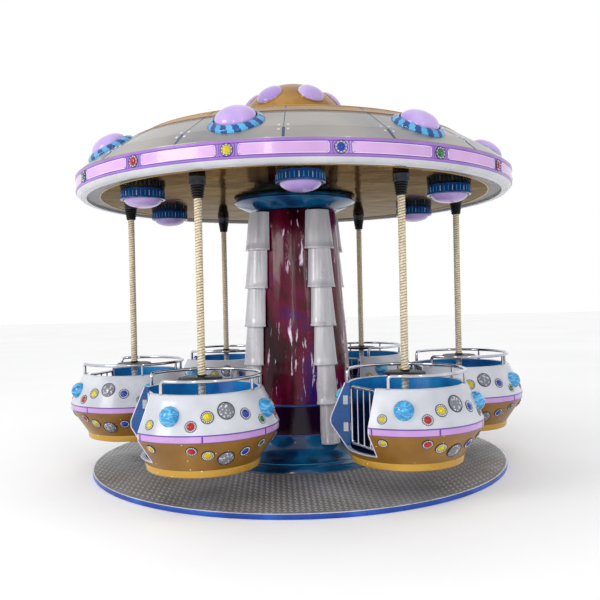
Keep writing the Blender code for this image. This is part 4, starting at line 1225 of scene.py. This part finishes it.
def hinge_leaves(made):
    along_jamb = at(-DOOR, 1.0)
    into_door = Vector((along_jamb.y, -along_jamb.x, 0.0)).normalized()
    if into_door.x < 0:
        into_door = -into_door
    for height in HINGES:
        centre = at(-DOOR, 0.430, height) + into_door * 0.003
        rows = [(along_jamb[i], (0, 0, 1)[i], into_door[i], centre[i]) for i in range(3)]
        place = Matrix(rows + [(0, 0, 0, 1)])
        made.add(slab((0.034, 0.064, 0.003)), STEEL, place)
        for dx in (-0.008, 0.008):
            for dz in (-0.022, 0.0, 0.022):
                screw = [(0.0035, 0.0), (0.0033, 0.0022), (0.0, 0.003)]
                made.add(turned(screw, 8), CHROME, place @ Matrix.Translation((dx, dz, 0.0015)))
        for side in (-1, 1):
            middle = height + side * 0.020
            knuckle = [(0.0, middle - 0.006), (0.0062, middle - 0.006), (0.0062, middle + 0.006), (0.0, middle + 0.006)]
            made.add(turned(knuckle, 16), STEEL, Matrix.Translation(PIN))
            arm = at(-DOOR - math.radians(60), 1.0)
            reach = Matrix.Rotation(math.atan2(arm.y, arm.x), 4, "Z")
            made.add(slab((0.024, 0.004, 0.010), (0.012, 0, middle), 0.0008), STEEL, Matrix.Translation(PIN) @ reach)


def tub_mesh():
    made = Piece()
    tub_shell(made)
    for side in (-1, 1):
        jamb_plate(made, side)
    bench(made)
    tub_jewels(made)
    hinge_leaves(made)
    return told("tub", made.mesh("tub"))


# %% [markdown]
# ## Rails and gates
# A polished tube follows the rim at hand height and comes down on each side of the door. The gate is a
# frame of bent tube with three bars. It opens inwards about its pin, so it is made in place and rides on
# the door's body.

# %% Rails and gates
RAIL, RAIL_HEIGHT, RAIL_ORBIT, RAIL_GAP = 0.0125, 0.886, 0.420, math.radians(40)
GATE_LOW, GATE_TOP, GATE_NEAR, GATE_FAR, GATE_TUBE, GATE_BAR = 0.372, 0.775, 0.019, 0.348, 0.0125, 0.0070


def rail_mesh():
    foot, bend = RIM_TOP + 0.0003, 0.030
    half = bend / RAIL_ORBIT
    path = [at(RAIL_GAP, RAIL_ORBIT, foot), at(RAIL_GAP, RAIL_ORBIT, RAIL_HEIGHT - bend)]
    path += [at(RAIL_GAP + half * (1 - math.cos(a)), RAIL_ORBIT, RAIL_HEIGHT - bend + bend * math.sin(a)) for a in (0.3, 0.6, 0.9, 1.2)]
    start, end = RAIL_GAP + half, math.tau - RAIL_GAP - half
    path += [at(start + (end - start) * k / 90, RAIL_ORBIT, RAIL_HEIGHT) for k in range(91)]
    path += [at(math.tau - RAIL_GAP - half * (1 - math.cos(a)), RAIL_ORBIT, RAIL_HEIGHT - bend + bend * math.sin(a)) for a in (1.2, 0.9, 0.6, 0.3)]
    path += [at(-RAIL_GAP, RAIL_ORBIT, RAIL_HEIGHT - bend), at(-RAIL_GAP, RAIL_ORBIT, foot)]
    made = Piece().add(pipe(path, RAIL, 14), CHROME)
    for turn in (133, 180, 227):
        a = math.radians(turn)
        made.add(pipe([at(a, RAIL_ORBIT, foot), at(a, RAIL_ORBIT, RAIL_HEIGHT - 0.004)], RAIL * 0.8, 14), CHROME)
    for turn in (40, 133, 180, 227, 320):
        flange = [(0.0155, 0.0002), (0.0160, 0.0015), (0.0150, 0.0035), (0.0125, 0.0045)]
        made.add(turned(flange, 24), STEEL, Matrix.Translation(at(math.radians(turn), RAIL_ORBIT - 0.002, RIM_TOP)))
    return told("rail", made.mesh("rail", 45))


def gate_mesh():
    """Made along +X from the pin, then carried to the pin."""
    left, right, corner = GATE_NEAR, GATE_FAR, 0.026
    loop = []
    for x, z, start in ((right - corner, GATE_TOP - corner, 0), (left + corner, GATE_TOP - corner, 90),
                        (left + corner, GATE_LOW + corner, 180), (right - corner, GATE_LOW + corner, 270)):
        for k in range(7):
            a = math.radians(start + 15 * k)
            loop.append((x + corner * math.cos(a), 0.0, z + corner * math.sin(a)))
    spot = Matrix.Translation(PIN)
    made = Piece().add(pipe(loop, GATE_TUBE * 0.92, 14, True), CHROME, spot)
    for k in range(3):
        x = left + (right - left) * (k + 1) / 4
        made.add(pipe([(x, 0, GATE_LOW), (x, 0, GATE_TOP)], GATE_BAR, 12), CHROME, spot)
        for z in (GATE_LOW, GATE_TOP):
            up = 1 if z == GATE_LOW else -1
            weld = Matrix.Translation((x, 0, z)) @ Matrix.Diagonal((1, 1, up, 1))
            collar = [(0.0105, 0.008), (0.0095, 0.013), (0.0070, 0.016)]
            shell = turned(collar, 16)
            made.add((shell[0], [f[::up] for f in shell[1]]), STEEL, spot @ weld)
    for height in HINGES:
        made.add(slab((left + 0.005, 0.010, 0.022), (left / 2 - 0.0025 + 0.003, 0, height)), STEEL, spot)
        barrel = [(0.0, height - 0.011), (0.0066, height - 0.011), (0.0066, height + 0.011), (0.0, height + 0.011)]
        made.add(turned(barrel, 16), CHROME, spot)
    made.add(slab((0.030, 0.022, 0.078), (right - 0.006, 0.0, 0.598), 0.004), LILAC, spot)
    made.add(pipe([(right - 0.010, 0, 0.604), (right + 0.012, 0, 0.604)], 0.0055, 12), CHROME, spot)
    made.add(pipe([(right - 0.004, -0.020, 0.604), (right - 0.004, 0.0, 0.604)], 0.0075, 12), CHROME, spot)
    return told("gate", made.mesh("gate", 45))


def hang_tubs():
    tub, rail, gate = tub_mesh(), rail_mesh(), gate_mesh()
    for n, yaw in enumerate((-66, -88, -37, -93.5, -113, -73.5), start=1):
        spot = Matrix.Translation(at(math.radians(30 + 60 * (n - 1)), POLE_ORBIT))
        spot = spot @ Matrix.Rotation(math.radians(yaw), 4, "Z")
        show(f"jewelled_tub_{n}", tub, f"cabin_{n}", [f"tub_{n}"], spot)
        show(f"rim_rail_{n}", rail, f"cabin_{n}", [f"handrail_{n}"], spot)
        show(f"barred_gate_{n}", gate, f"door_{n}", [f"gate_{n}"], spot)


hang_tubs()
